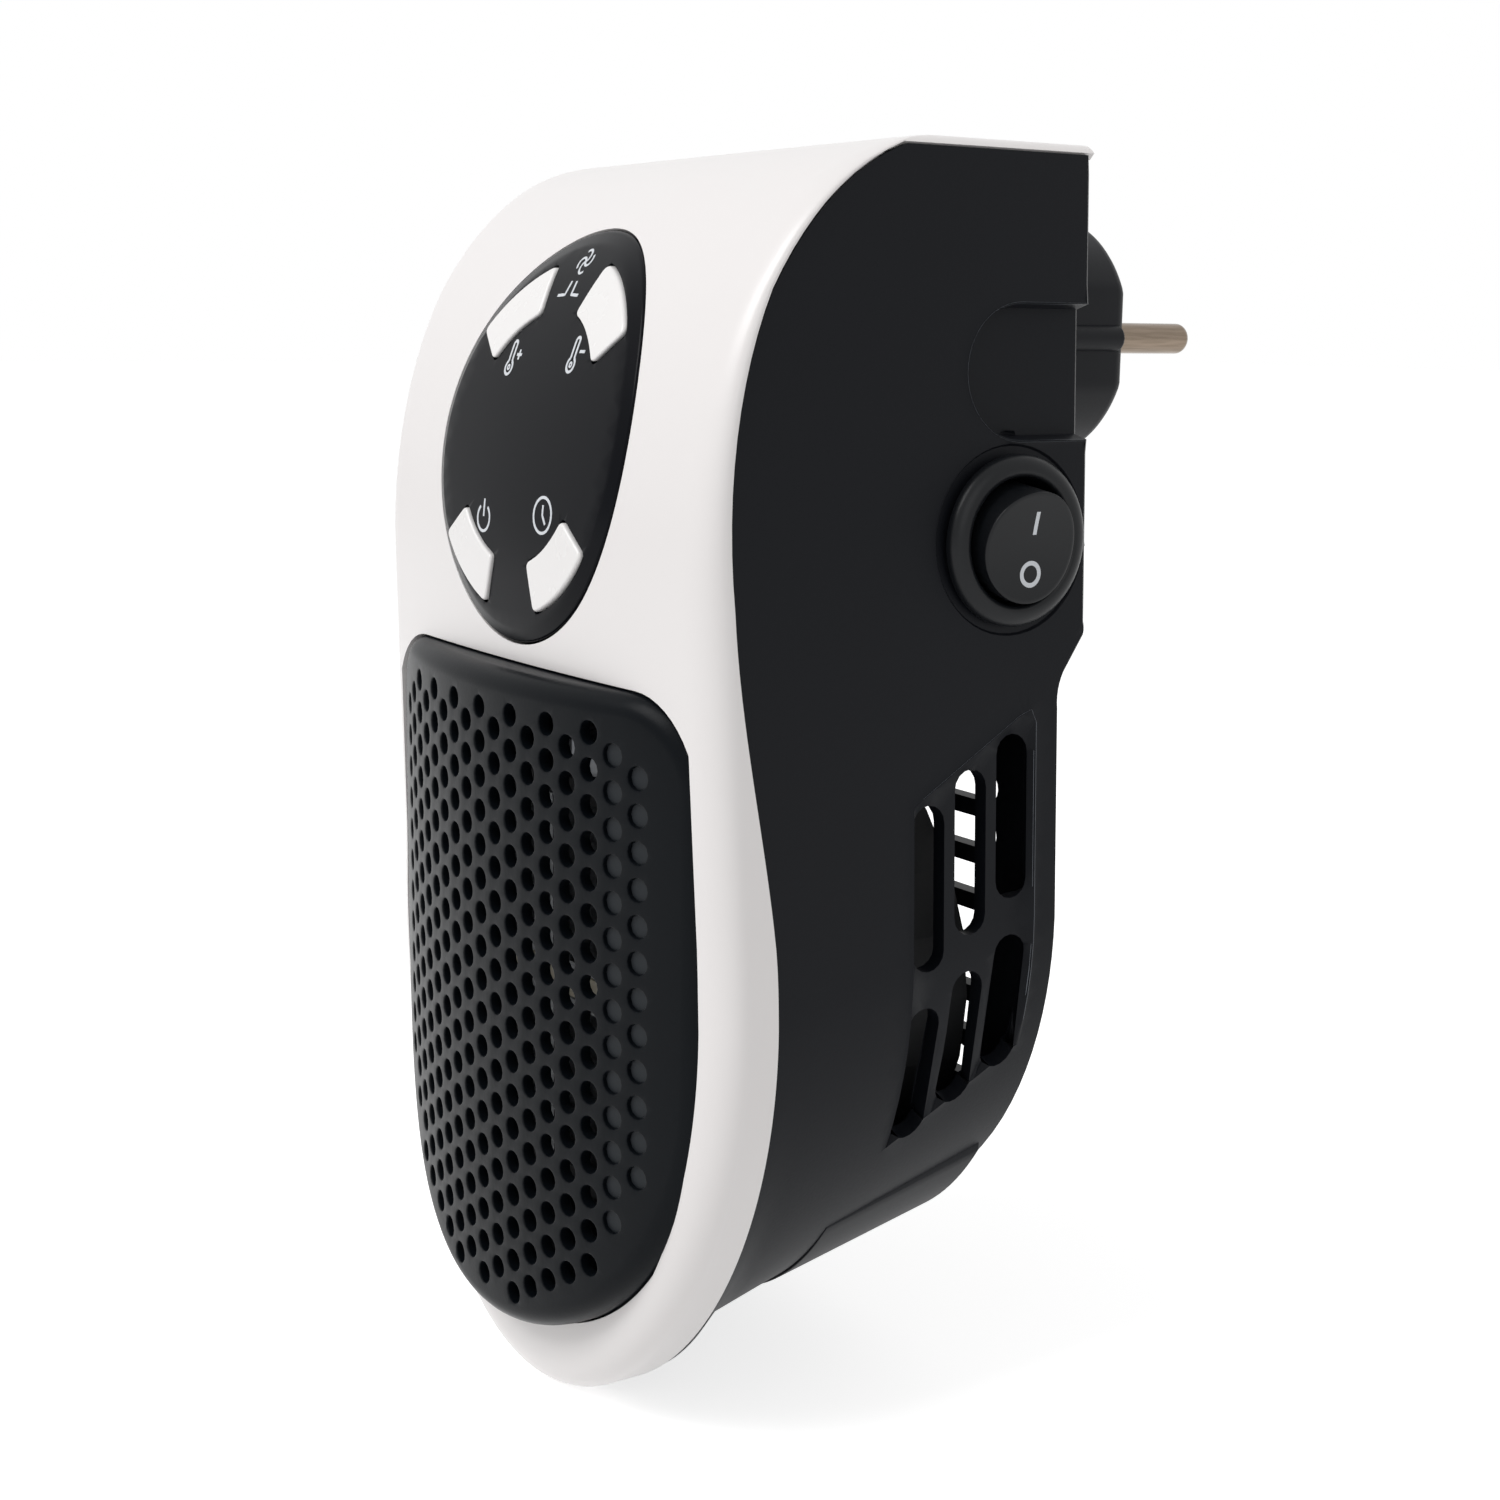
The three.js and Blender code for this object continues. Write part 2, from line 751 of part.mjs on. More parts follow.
// Six upright slots in a side wall: two rows of three that climb backwards.
function ventSlots() {
  const across = halfWidth + overrun;
  const slots = [];
  for (let i = 0; i < 3; i += 1) {
    const depth = ventFirstDepth + ventPitch * i;
    const top = ventUpperTop + ventClimb * i;
    const lowerTop = top - ventUpperLength - ventRowGap;
    const upper = slotOutline(depth, top - ventUpperLength / 2, ventWidth / 2, ventUpperLength / 2);
    const middle = lowerTop - ventLowerLength / 2;
    const lower = slotOutline(depth, middle, ventWidth / 2, ventLowerLength / 2);
    slots.push(throughWidth(upper, -across, across), throughWidth(lower, -across, across));
  }
  return join(slots);
}

// The shallow leaning panel that the slots stand in.
function ventPanel() {
  const front = ventFirstDepth - ventWidth / 2 - ventPanelEdge;
  const back = ventFirstDepth + 2 * ventPitch + ventWidth / 2 + ventPanelEdge;
  const climb = (ventClimb / ventPitch) * (back - front);
  const top = ventUpperTop - ventPanelEdge;
  const bottom = ventUpperTop - ventUpperLength - ventRowGap - ventLowerLength - ventPanelEdge;
  const bevel = ventWidth / 2;
  const points = [
    [front, bottom],
    [back, bottom + climb],
    [back, top + climb - bevel],
    [back - bevel, top + climb],
    [front, top],
  ];
  const across = halfWidth + overrun;
  const inner = caseBlock(ventPanelSink, 0, ventPanelSink);
  return throughWidth(points, -across, across).subtract(inner);
}

// Level intake slots across the lower back, in two columns.
function intakeSlots() {
  const slots = [];
  for (let row = 0; row < intakeRows; row += 1) {
    const height = intakeTop - intakeSlotHeight / 2 - intakePitch * row;
    const drop = Math.max(0, backArcCentreHeight - height);
    const reach = backArcCentreHeight - backBottomHeight;
    const taper = Math.sqrt(1 - (drop / reach) ** 2);
    const end = intakeHalfWidth * taper;
    const half = (end - intakeRib / 2) / 2;
    [-1, 1].forEach((side) => {
      const middle = side * (intakeRib / 2 + half);
      const outline = slotOutline(middle, height, half, intakeSlotHeight / 2);
      slots.push(throughDepth(outline, lowerBackDepth - wall - overrun, backDepth + overrun));
    });
  }
  return join(slots);
}

// The D-shaped finger scoop that runs out at the back edge of a side wall.
function scoopOutline(grow) {
  const radius = scoopRadius + grow;
  const centre = scoopFrontDepth + scoopRadius;
  const points = [];
  for (let i = 0; i <= 2 * cornerSteps + 2; i += 1) {
    const angle = Math.PI / 2 + (Math.PI * i) / (2 * cornerSteps + 2);
    points.push([centre + radius * Math.cos(angle), scoopHeight + radius * Math.sin(angle)]);
  }
  const back = grow ? backDepth - wall / 2 : backDepth + overrun;
  points.push([back, scoopHeight - radius], [back, scoopHeight + radius]);
  return points;
}

const boardPosts = [
  [-boardHalfWidth + postRadius + gap, boardBottom + postRadius + gap],
  [-boardHalfWidth + postRadius + gap, boardTop - postRadius - gap],
  [boardHalfWidth - postRadius - gap, boardTop - postRadius - gap],
];
const boardBack = boardDepth + boardThickness;

// Black rear case: open at the front, with vents, intake, scoops, the holes
// for the switch and the plug's neck, screw wells and board posts.
function rearCase() {
  const hollow = caseBlock(wall, 0, wall).subtract(belowStep(wall));
  const outer = caseBlock(0, 0, 0).subtract(belowStep(0));
  const side = sideAt(scoopHeight, caseInset);
  const additions = [-1, 1].map((hand) => {
    const inner = side - scoopSink - wall;
    const edges = [hand * inner, hand * (side - wall / 2)].sort((a, b) => a - b);
    return throughWidth(scoopOutline(wall), edges[0], edges[1]);
  });
  const cuts = [-1, 1].map((hand) => {
    const edges = [hand * (side - scoopSink), hand * (side + overrun)].sort((a, b) => a - b);
    return throughWidth(scoopOutline(0), edges[0], edges[1]);
  });
  const backAt = backDepth - wall / 2;
  screwPlaces.forEach(({ x, z }) => {
    additions.push(rodAlongDepth(wellRadius + wellWall, seatFrontDepth, backAt, x, z));
    cuts.push(rodAlongDepth(wellRadius, screwSeatDepth, backDepth + overrun, x, z));
    cuts.push(rodAlongDepth(screwRadius + gap, 0, backDepth, x, z));
  });
  boardPosts.forEach(([x, z]) => {
    additions.push(rodAlongDepth(postRadius, boardBack + gap, backAt, x, z));
    cuts.push(rodAlongDepth(screwRadius + gap, 0, boardDepth + boardScrewLength, x, z));
  });
  const plugHole = rodAlongDepth(plugNeckRadius + gap, 0, backDepth + overrun, 0, plugHeight, roundSides);
  const inside = sideAt(switchHeight, caseInset) - wall - overrun;
  const switchHole = rodAlongWidth(
    barrelRadius + gap, inside, halfWidth + overrun, switchDepth, switchHeight, roundSides,
  );
  const plain = outer.subtract(hollow).subtract(ventPanel()).subtract(ventSlots());
  return plain
    .subtract(intakeSlots())
    .add(join(additions).intersect(outer))
    .subtract(join(cuts))
    .subtract(plugHole)
    .subtract(switchHole)
    .intersect(behindParting(gap));
}

// Foot: a pad under the climbing bottom that deepens towards the back.
function rearFoot() {
  const backEnd = lowerBackDepth - footInset / 2;
  const places = [
    { depth: footFrontDepth, drop: 0 },
    { depth: backEnd, drop: footDrop },
  ];
  const rings = places.map(({ depth, drop }) => {
    const { centre, bottom } = lowerArcAt(depth);
    const outline = housingOutline(footInset, { centre, bottom: bottom - drop - footInset });
    return ringAt(outline, () => depth);
  });
  const under = box(-halfWidth, halfWidth, 0, backDepth, bottomHeight - footDrop, arcCentreHeight);
  const clear = caseBlock(-gap, 0, -gap);
  return loft(rings).intersect(under).subtract(clear);
}

// Hole centres: upright columns on a triangular lattice, with the rows of
// each column, counted from its top, following the outline.
function holePlaces() {
  const bottomRows = [13, 14.5, 16, 16.5, 17, 17.5, 18, 17.5, 18];
  const topRows = [2, 1.5, 1, 1.5, 1, 1.5, 1, 1.5, 1];
  const places = [];
  for (let column = -columnHalfCount; column <= columnHalfCount; column += 1) {
    const fromEdge = columnHalfCount - Math.abs(column);
    if (fromEdge < blindColumns) continue;
    for (let row = topRows[fromEdge]; row <= bottomRows[fromEdge]; row += 1) {
      places.push([column * columnPitch, (middleRow - row) * rowPitch]);
    }
  }
  return places;
}

// Everything behind the grille's face, set back by an inset.
function behindGrilleFace(inset) {
  const spareStrips = Math.ceil(halfWidth / columnPitch);
  const points = [];
  for (let strip = -spareStrips; strip < spareStrips; strip += 1) {
    const x = (strip + 0.5) * columnPitch;
    points.push([x, grilleArcAt(x) + inset]);
  }
  const side = (spareStrips - 0.5) * columnPitch;
  points.push([side, partingAt(0)], [-side, partingAt(0)]);
  const geometry = prism(points, topHeight - bottomHeight);
  geometry.translate(0, 0, bottomHeight);
  return solid(geometry);
}

// Domed grille: a face of flat strips with a round shoulder and a skirt that
// enters the front's opening, pierced along the depth.
function frontGrille() {
  const block = (inset) => {
    const round = grilleShoulder - inset / 2;
    const reach = grilleSkirt + (inset ? overrun : 0);
    const rings = [ringAt(grilleOutline(inset), (x, z) => faceAt(x, z) + reach)];
    roundAngleShares.forEach((share) => {
      const angle = (share * Math.PI) / 2;
      const side = inset + round * (1 - Math.sin(angle));
      const back = inset + round * (1 - Math.cos(angle));
      rings.push(ringAt(grilleOutline(side), (x) => grilleFaceAt(x) + back));
    });
    rings.push(ringAt(grilleOutline(inset + round), () => -overrun));
    return loft(rings).intersect(behindGrilleFace(inset));
  };
  const drills = holePlaces().map(([x, z]) => {
    return rodAlongDepth(holeRadius, -overrun, grilleFaceAt(x) + 2 * overrun, x, z, holeSides);
  });
  return block(0).subtract(block(grilleThickness)).subtract(wasm.Manifold.union(drills));
}

function buttonOutline(quadrant, grow) {
  const right = quadrant === 0 || quadrant === 3 ? 1 : -1;
  const up = quadrant < 2 ? 1 : -1;
  const steps = 2 * cornerSteps;
  const arc = (radius, spread) => {
    const points = [];
    for (let i = 0; i <= steps; i += 1) {
      const angle = degrees(buttonMiddleAngle) + spread * (i / steps - 0.5);
      points.push([right * radius * Math.cos(angle), panelHeight + up * radius * Math.sin(angle)]);
    }
    return points;
  };
  const inner = buttonInner - grow;
  const outer = buttonOuter + grow;
  const span = degrees(buttonSpanAngle);
  return [...arc(outer, span + (2 * grow) / outer), ...arc(inner, span + (2 * grow) / inner).reverse()];
}

// A slab that follows the white front's face between two depths behind it.
function panelSlab(outline, front, back) {
  const centreShares = [1, 0.75, 0.4];
  const rings = [];
  const scaled = (share) => outline.map(([x, z]) => [x * share, panelHeight + (z - panelHeight) * share]);
  [...centreShares].reverse().forEach((share) => {
    rings.push(ringAt(scaled(share), (x, z) => faceAt(x, z) + back));
  });
  centreShares.forEach((share) => {
    rings.push(ringAt(scaled(share), (x, z) => faceAt(x, z) + front));
  });
  return loft(rings);
}

function controlPanel() {
  let body = panelSlab(ovalOutline(0), -panelProud, panelThickness - panelProud);
  for (let i = 0; i < 4; i += 1) {
    body = body.subtract(throughDepth(buttonOutline(i, gap), -overrun, backDepth));
  }
  return body;
}

const buttonNames = ['fan_up_button', 'warmer_button', 'power_button', 'timer_button'];

// A button's head follows the panel's face, and a stem behind it meets its
// small switch.
function pushButton(quadrant) {
  const outline = buttonOutline(quadrant, 0);
  const head = throughDepth(outline, -overrun, backDepth);
  const front = -panelProud - buttonProud;
  const layer = panelSlab(ovalOutline(0), front, front + buttonDepth);
  const [x, z] = buttonCentre(quadrant);
  const stem = rodAlongDepth(buttonStem, faceAt(x, z), plungerFront() - buttonTravel - gap, x, z);
  return head.intersect(layer).add(stem);
}

function buttonCentre(quadrant) {
  const right = quadrant === 0 || quadrant === 3 ? 1 : -1;
  const up = quadrant < 2 ? 1 : -1;
  const radius = (buttonInner + buttonOuter) / 2;
  const angle = degrees(buttonMiddleAngle);
  return [right * radius * Math.cos(angle), panelHeight + up * radius * Math.sin(angle)];
}

function plungerFront() {
  return displayBoardDepth - gap - tactPlunger * 2;
}

// Small push switch on the display board: a square body with a round plunger.
function tactSwitch(quadrant) {
  const [x, z] = buttonCentre(quadrant);
  const back = displayBoardDepth - gap;
  const half = tactSide / 2;
  const body = box(x - half, x + half, back - tactPlunger, back, z - half, z + half);
  return body.add(rodAlongDepth(buttonStem, plungerFront(), back - tactPlunger / 2, x, z));
}

// Display board, with two posts that reach forward to the panel's back.
function displayBoard() {
  const back = displayBoardDepth + displayBoardThickness;
  const plate = rodAlongDepth(displayBoardRadius, displayBoardDepth, back, 0, panelHeight, roundSides);
  const posts = [-1, 1].map((side) => {
    const x = side * (displayBoardRadius - 2 * boardPostRadius);
    const front = faceAt(x, panelHeight + boardPostRadius) + panelThickness - panelProud + gap;
    const back = displayBoardDepth + displayBoardThickness / 2;
    return rodAlongDepth(boardPostRadius, front, back, x, panelHeight);
  });
  return plate.add(join(posts));
}

function ledDisplay() {
  const back = displayBoardDepth - gap;
  const half = displayHeight / 2;
  const front = faceAt(displayWidth / 2, panelHeight + half) + panelThickness - panelProud + 2 * gap;
  return box(-displayWidth / 2, displayWidth / 2, front, back, panelHeight - half, panelHeight + half);
}

// Rounded rib along one of the plug's flats.
function plugRib(side, start) {
  const half = plugRibHeight / 2;
  const foot = plugFlat - half;
  const crest = plugFlat + plugRibProud;
  const points = [[foot, -half], [plugFlat + plugRibProud / 2, -half]];
  points.push([crest, -half / 2], [crest, half / 2]);
  points.push([plugFlat + plugRibProud / 2, half], [foot, half]);
  const geometry = prism(points.map(([x, z]) => [side * x, z]), plugFaceDepth - plugChamfer - start);
  geometry.rotateX(Math.PI / 2);
  geometry.translate(0, plugFaceDepth - plugChamfer, plugHeight);
  return solid(geometry);
}

// Plug that turns in the case: a round body with a ribbed flat on each side,
// a neck through the back wall and a spigot inside.
function plugBody() {
  const neckFront = backDepth - wall - gap;
  const spigotEnd = neckFront - spigotReach;
  const profile = [
    [0, spigotEnd],
    [spigotRadius, spigotEnd],
    [spigotRadius, neckFront],
    [plugNeckRadius, neckFront],
    [plugNeckRadius, backDepth + gap],
    [plugRadius, backDepth + gap],
    [plugRadius, plugFaceDepth - plugChamfer],
    [plugRadius - plugChamfer, plugFaceDepth],
    [0, plugFaceDepth],
  ];
  let body = turned(profile, 0, plugHeight, plugSides);
  const start = backDepth + gap + wall;
  const end = plugFaceDepth + overrun;
  [-1, 1].forEach((side) => {
    const edges = [side * plugFlat, side * (plugRadius + overrun)].sort((a, b) => a - b);
    const tall = plugRadius + overrun;
    const rib = plugRib(side, start);
    body = body
      .subtract(box(edges[0], edges[1], start, end, plugHeight - tall, plugHeight + tall))
      .add(rib);
    const hole = plugFaceDepth - pinRoot;
    body = body.subtract(rodAlongDepth(pinRadius + gap, hole, end, (side * pinSpacing) / 2, plugHeight));
  });
  return body;
}

// Round pin with a rounded tip, seated in the plug's blind hole.
function plugPin(side) {
  const tip = plugFaceDepth + pinLength;
  const profile = [
    [0, plugFaceDepth - pinRoot + gap],
    [pinRadius, plugFaceDepth - pinRoot + gap],
    [pinRadius, tip - pinRadius / 2],
    [pinRadius * pinTipWidthShare, tip - pinRadius * pinTipRestShare],
    [pinRadius / 2, tip],
    [0, tip],
  ];
  return turned(profile, (side * pinSpacing) / 2, plugHeight, smallSides);
}

const spigotEndDepth = backDepth - wall - gap - spigotReach;

function washer(inner, outer, y0, y1, sides = roundSides) {
  const profile = [[inner, y0], [outer, y0], [outer, y1], [inner, y1], [inner, y0]];
  return turned(profile, 0, plugHeight, sides);
}

function plugRetainer() {
  const back = backDepth - wall - 2 * gap;
  return washer(spigotRadius + gap, retainerRadius, back - retainerThickness, back);
}

function slipRing(radius) {
  const back = spigotEndDepth - gap;
  return washer(radius - ringWidth, radius, back - ringThickness, back);
}

// Bridge inside the case that carries the two spring contacts.
function contactCarrier() {
  const back = spigotEndDepth - gap - ringThickness - carrierGap;
  const front = back - carrierThickness;
  const low = plugHeight - carrierHalfHeight;
  const high = plugHeight + carrierHalfHeight;
  const bar = box(-carrierHalfWidth, carrierHalfWidth, front, back, low, high);
  const legs = [-1, 1].map((side) => {
    const edges = [side * carrierHalfWidth, side * (carrierHalfWidth - legThickness)].sort((a, b) => a - b);
    return box(edges[0], edges[1], back - carrierThickness / 2, backDepth - wall - gap, low, high);
  });
  return bar.add(join(legs));
}

// A leaf contact: a foot on the carrier and an arm that rises to its ring.
function contactSpring(radius, side) {
  const ringFront = spigotEndDepth - gap - ringThickness;
  const foot = ringFront - carrierGap + gap;
  const tip = ringFront - gap;
  const reach = radius - ringWidth / 2;
  const strip = terminalThickness;
  const points = [
    [0, foot],
    [ringWidth, foot],
    [ringWidth + strip, foot + strip],
    [reach, tip - strip],
    [reach + strip, tip - strip],
    [reach + strip, tip],
    [reach - strip, tip],
    [ringWidth, foot + strip],
    [0, foot + strip],
  ];
  const across = points.map(([x, y]) => [side * x + (side * leafWidth) / 2, y]);
  const geometry = prism(across, leafWidth);
  geometry.translate(0, 0, plugHeight - leafWidth / 2);
  return solid(geometry);
}

// Plane of the switch flange's back, just outside the case's right wall.
const flangeBack = sideAt(switchHeight - flangeRadius, caseInset) + gap;
const flangeFace = flangeBack + flangeThickness;
const pivotX = flangeFace - pivotSink;

function rockerHousing() {
  const inner = flangeFace - barrelDepth;
  const profile = [
    [0, inner],
    [barrelRadius, inner],
    [barrelRadius, flangeBack],
    [flangeRadius, flangeBack],
    [flangeRadius, flangeFace - flangeThickness / 2],
    [flangeRadius - flangeThickness / 2, flangeFace],
    [switchBore, flangeFace],
    [switchBore, pivotX - rockerDepth - rockerRadius / 2],
    [0, pivotX - rockerDepth - rockerRadius / 2],
  ];
  const points = profile.map(([radius, along]) => new THREE.Vector2(radius, along));
  const geometry = new THREE.LatheGeometry(points, roundSides);
  geometry.rotateZ(-Math.PI / 2);
  geometry.translate(0, switchDepth, switchHeight);
  const pivot = new THREE.CylinderGeometry(
    pivotRadius + pivotClearance, pivotRadius + pivotClearance, 2 * barrelRadius + overrun, smallSides,
  );
  pivot.translate(pivotX, switchDepth, switchHeight);
  return solid(geometry).subtract(solid(pivot));
}

// Rocker: a round key with a shallow vee face, tipped to off, and two pivots.
function rocker() {
  const rise = rockerRise;
  const valley = rise - rockerRadius * Math.tan(degrees(rockerVee));
  const deep = -rockerDepth;
  const reach = rockerRadius + overrun;
  const slope = Math.tan(degrees(rockerVee));
  const section = [
    [deep, -reach],
    [valley + reach * slope, -reach],
    [valley, 0],
    [valley + reach * slope, reach],
    [deep, reach],
  ];
  const key = prism(section, 2 * reach);
  key.rotateX(Math.PI / 2);
  key.translate(0, reach, 0);
  const disc = new THREE.CylinderGeometry(rockerRadius, rockerRadius, 2 * reach, roundSides);
  disc.rotateZ(Math.PI / 2);
  const pin = new THREE.CylinderGeometry(pivotRadius, pivotRadius, 2 * (barrelRadius - gap), smallSides);
  const body = solid(key).intersect(solid(disc)).add(solid(pin));
  return body.rotate([0, rockerVee, 0]).translate([pivotX, switchDepth, switchHeight]);
}

function switchTerminal(row) {
  const back = flangeFace - barrelDepth - gap;
  const z = switchHeight + row * (terminalSpacing / 2);
  const half = terminalWidth / 2;
  const thin = terminalThickness / 2;
  return box(back - terminalLength, back, switchDepth - half, switchDepth + half, z - thin, z + thin);
}

// Frame round the heating element, open front and back.
function heaterFrame() {
  const back = heaterDepth + heaterThickness;
  const grow = heaterFrameWall;
  const outer = box(
    -heaterHalfWidth - grow, heaterHalfWidth + grow, heaterDepth, back,
    -heaterHalfHeight - grow, heaterHalfHeight + grow,
  );
  const inner = box(
    -heaterHalfWidth, heaterHalfWidth, 0, back + overrun, -heaterHalfHeight, heaterHalfHeight,
  );
  return outer.subtract(inner);
}

const finBottom = ptcHeight / 2 + gap;
const finTop = heaterHalfHeight - gap;

// One aluminium fin pack above or below the heating bar: a spine with a row
// of upright fins.
function finPack(side) {
  const points = [[-heaterHalfWidth + gap, finBottom]];
  points.push([heaterHalfWidth - gap, finBottom]);
  const width = 2 * (heaterHalfWidth - gap);
  const pitch = (width - finThickness) / (finCount - 1);
  for (let i = finCount - 1; i >= 0; i -= 1) {
    const x = -heaterHalfWidth + gap + pitch * i;
    points.push([x + finThickness, finTop], [x, finTop]);
    if (i > 0) {
      const next = x - pitch + finThickness;
      points.push([x, finBottom + finSpine], [next, finBottom + finSpine]);
    }
  }
  const turnedOver = points.map(([x, z]) => [x, side * z]);
  return throughDepth(turnedOver, heaterDepth + gap, heaterDepth + heaterThickness - gap);
}

function heatingBar() {
  const half = ptcHeight / 2;
  const end = heaterHalfWidth - gap;
  return box(-end, end, heaterDepth + gap, heaterDepth + heaterThickness - gap, -half, half);
}

// Thermal cut-out: a flat can on top of the heater frame.
function thermalCutout() {
  const low = heaterHalfHeight + heaterFrameWall + gap;
  const middle = heaterDepth + heaterThickness / 2;
  const capRadius = motorBossRadius * 2;
  const can = new THREE.CylinderGeometry(capRadius, capRadius, canRadius, roundSides / 2);
  can.rotateX(Math.PI / 2);
  can.translate(0, middle, low + canRadius / 2);
  return solid(can);
}

const motorPlateFront = motorPlateBack - motorPlateThickness;

// Duct: a bulkhead that fits the housing's inside, the ring round the fan,
// and three struts that carry the motor's plate.
function fanDuct() {
  const frontFace = baffleDepth;
  const backFace = baffleDepth + baffleThickness;
  const slice = box(-halfWidth, halfWidth, frontFace, backFace, bottomHeight, baffleTop);
  const plate = caseBlock(wall + gap, 0, wall).intersect(slice);
  const ring = rodAlongDepth(ductRadius + ductWall, frontFace, ductBack, 0, 0, roundSides);
  const bore = rodAlongDepth(ductRadius, 0, backDepth, 0, 0, roundSides);
  const hub = rodAlongDepth(motorPlateRadius, motorPlateFront, motorPlateBack, 0, 0, roundSides);
  const struts = [0, 1, 2].map((i) => {
    const geometry = new THREE.BoxGeometry(strutWidth, motorPlateThickness, ductRadius + ductWall / 2);
    geometry.translate(0, motorPlateBack - motorPlateThickness / 2, (ductRadius + ductWall / 2) / 2);
    geometry.rotateY((i * 2 * Math.PI) / 3);
    return solid(geometry);
  });
  return plate
    .add(ring)
    .subtract(bore)
    .add(hub)
    .add(join(struts))
    .subtract(rodAlongDepth(shaftHole, 0, backDepth, 0, 0));
}

function fanMotor() {
  const front = motorPlateBack + gap;
  const profile = [
    [0, front],
    [motorRadius, front],
    [motorRadius, front + motorLength],
    [motorBossRadius, front + motorLength],
    [motorBossRadius, front + motorLength + screwHeadHeight],
    [0, front + motorLength + screwHeadHeight],
  ];
  return turned(profile, 0, 0);
}

const hubBack = motorPlateFront - 2 * gap;
const hubFront = hubBack - hubLength;

function motorShaft() {
  return rodAlongDepth(shaftRadius, hubFront + gap + screwHeadHeight, motorPlateBack, 0, 0);
}

// A twisted blade: square-cornered sections from the hub out to the tip,
// each turned less than the one before.
function fanBlade() {
  const stations = 5;
  const rings = [];
  for (let i = 0; i < stations; i += 1) {
    const share = i / (stations - 1);
    const radius = hubRadius - bladeThickness + (impellerRadius - hubRadius + bladeThickness) * share;
    const angle = degrees(bladeRootAngle + (bladeTipAngle - bladeRootAngle) * share);
    const chord = (bladeChord / 2) * (1 + share);
    const corners = [[-1, -1], [1, -1], [1, 1], [-1, 1]];
    rings.push(corners.map(([a, b]) => {
      const along = (a * chord) / 2;
      const across = (b * bladeThickness) / 2;
      const x = along * Math.cos(angle) - across * Math.sin(angle);
      const y = along * Math.sin(angle) + across * Math.cos(angle);
      return new THREE.Vector3(x, (hubFront + hubBack) / 2 + y, Math.sqrt(radius ** 2 - x * x));
    }));
  }
  return loft(rings);
}

// Impeller: a capped hub with a blind bore and a ring of twisted blades.
function fanImpeller() {
  const nose = hubFront - screwHeadHeight;
  const profile = [
    [0, nose],
    [hubRadius - bladeThickness, nose],
    [hubRadius, hubFront],
    [hubRadius, hubBack],
    [0, hubBack],
  ];
  const blade = fanBlade();
  const blades = [];
  for (let i = 0; i < bladeCount; i += 1) {
    blades.push(blade.rotate([0, (360 * i) / bladeCount, 0]));
  }
  const bore = rodAlongDepth(shaftRadius + gap, hubFront + screwHeadHeight, hubBack + overrun, 0, 0);
  return turned(profile, 0, 0).add(join(blades)).subtract(bore);
}

function mainBoard() {
  let body = box(-boardHalfWidth, boardHalfWidth, boardDepth, boardBack, boardBottom, boardTop);
  boardPosts.forEach(([x, z]) => {
    body = body.subtract(rodAlongDepth(screwRadius + gap, 0, backDepth, x, z));
  });
  return body;
}

// A box that stands on the front of the power board.
function onBoard(x, z, width, height, depth) {
  const back = boardDepth - gap;
  return box(x - width / 2, x + width / 2, back - depth, back, z - height / 2, z + height / 2);
}

// Small screw: a flat head in front and a shank that runs back.
function boardScrew([x, z]) {
  const seat = boardDepth - gap;
  const profile = [
    [0, seat - screwHeadHeight],
    [boardScrewHead, seat - screwHeadHeight],
    [boardScrewHead, seat],
    [screwRadius, seat],
    [screwRadius, seat + boardScrewLength - gap],
    [0, seat + boardScrewLength - gap],
  ];
  return turned(profile, x, z, smallSides);
}

function caseScrew({ x, z }) {
  const seat = screwSeatDepth + gap;
  const profile = [
    [0, seat - screwLength],
    [screwRadius, seat - screwLength],
    [screwRadius, seat],
    [screwHeadRadius, seat],
    [screwHeadRadius, seat + screwHeadHeight],
    [0, seat + screwHeadHeight],
  ];
  return turned(profile, x, z, smallSides);
}

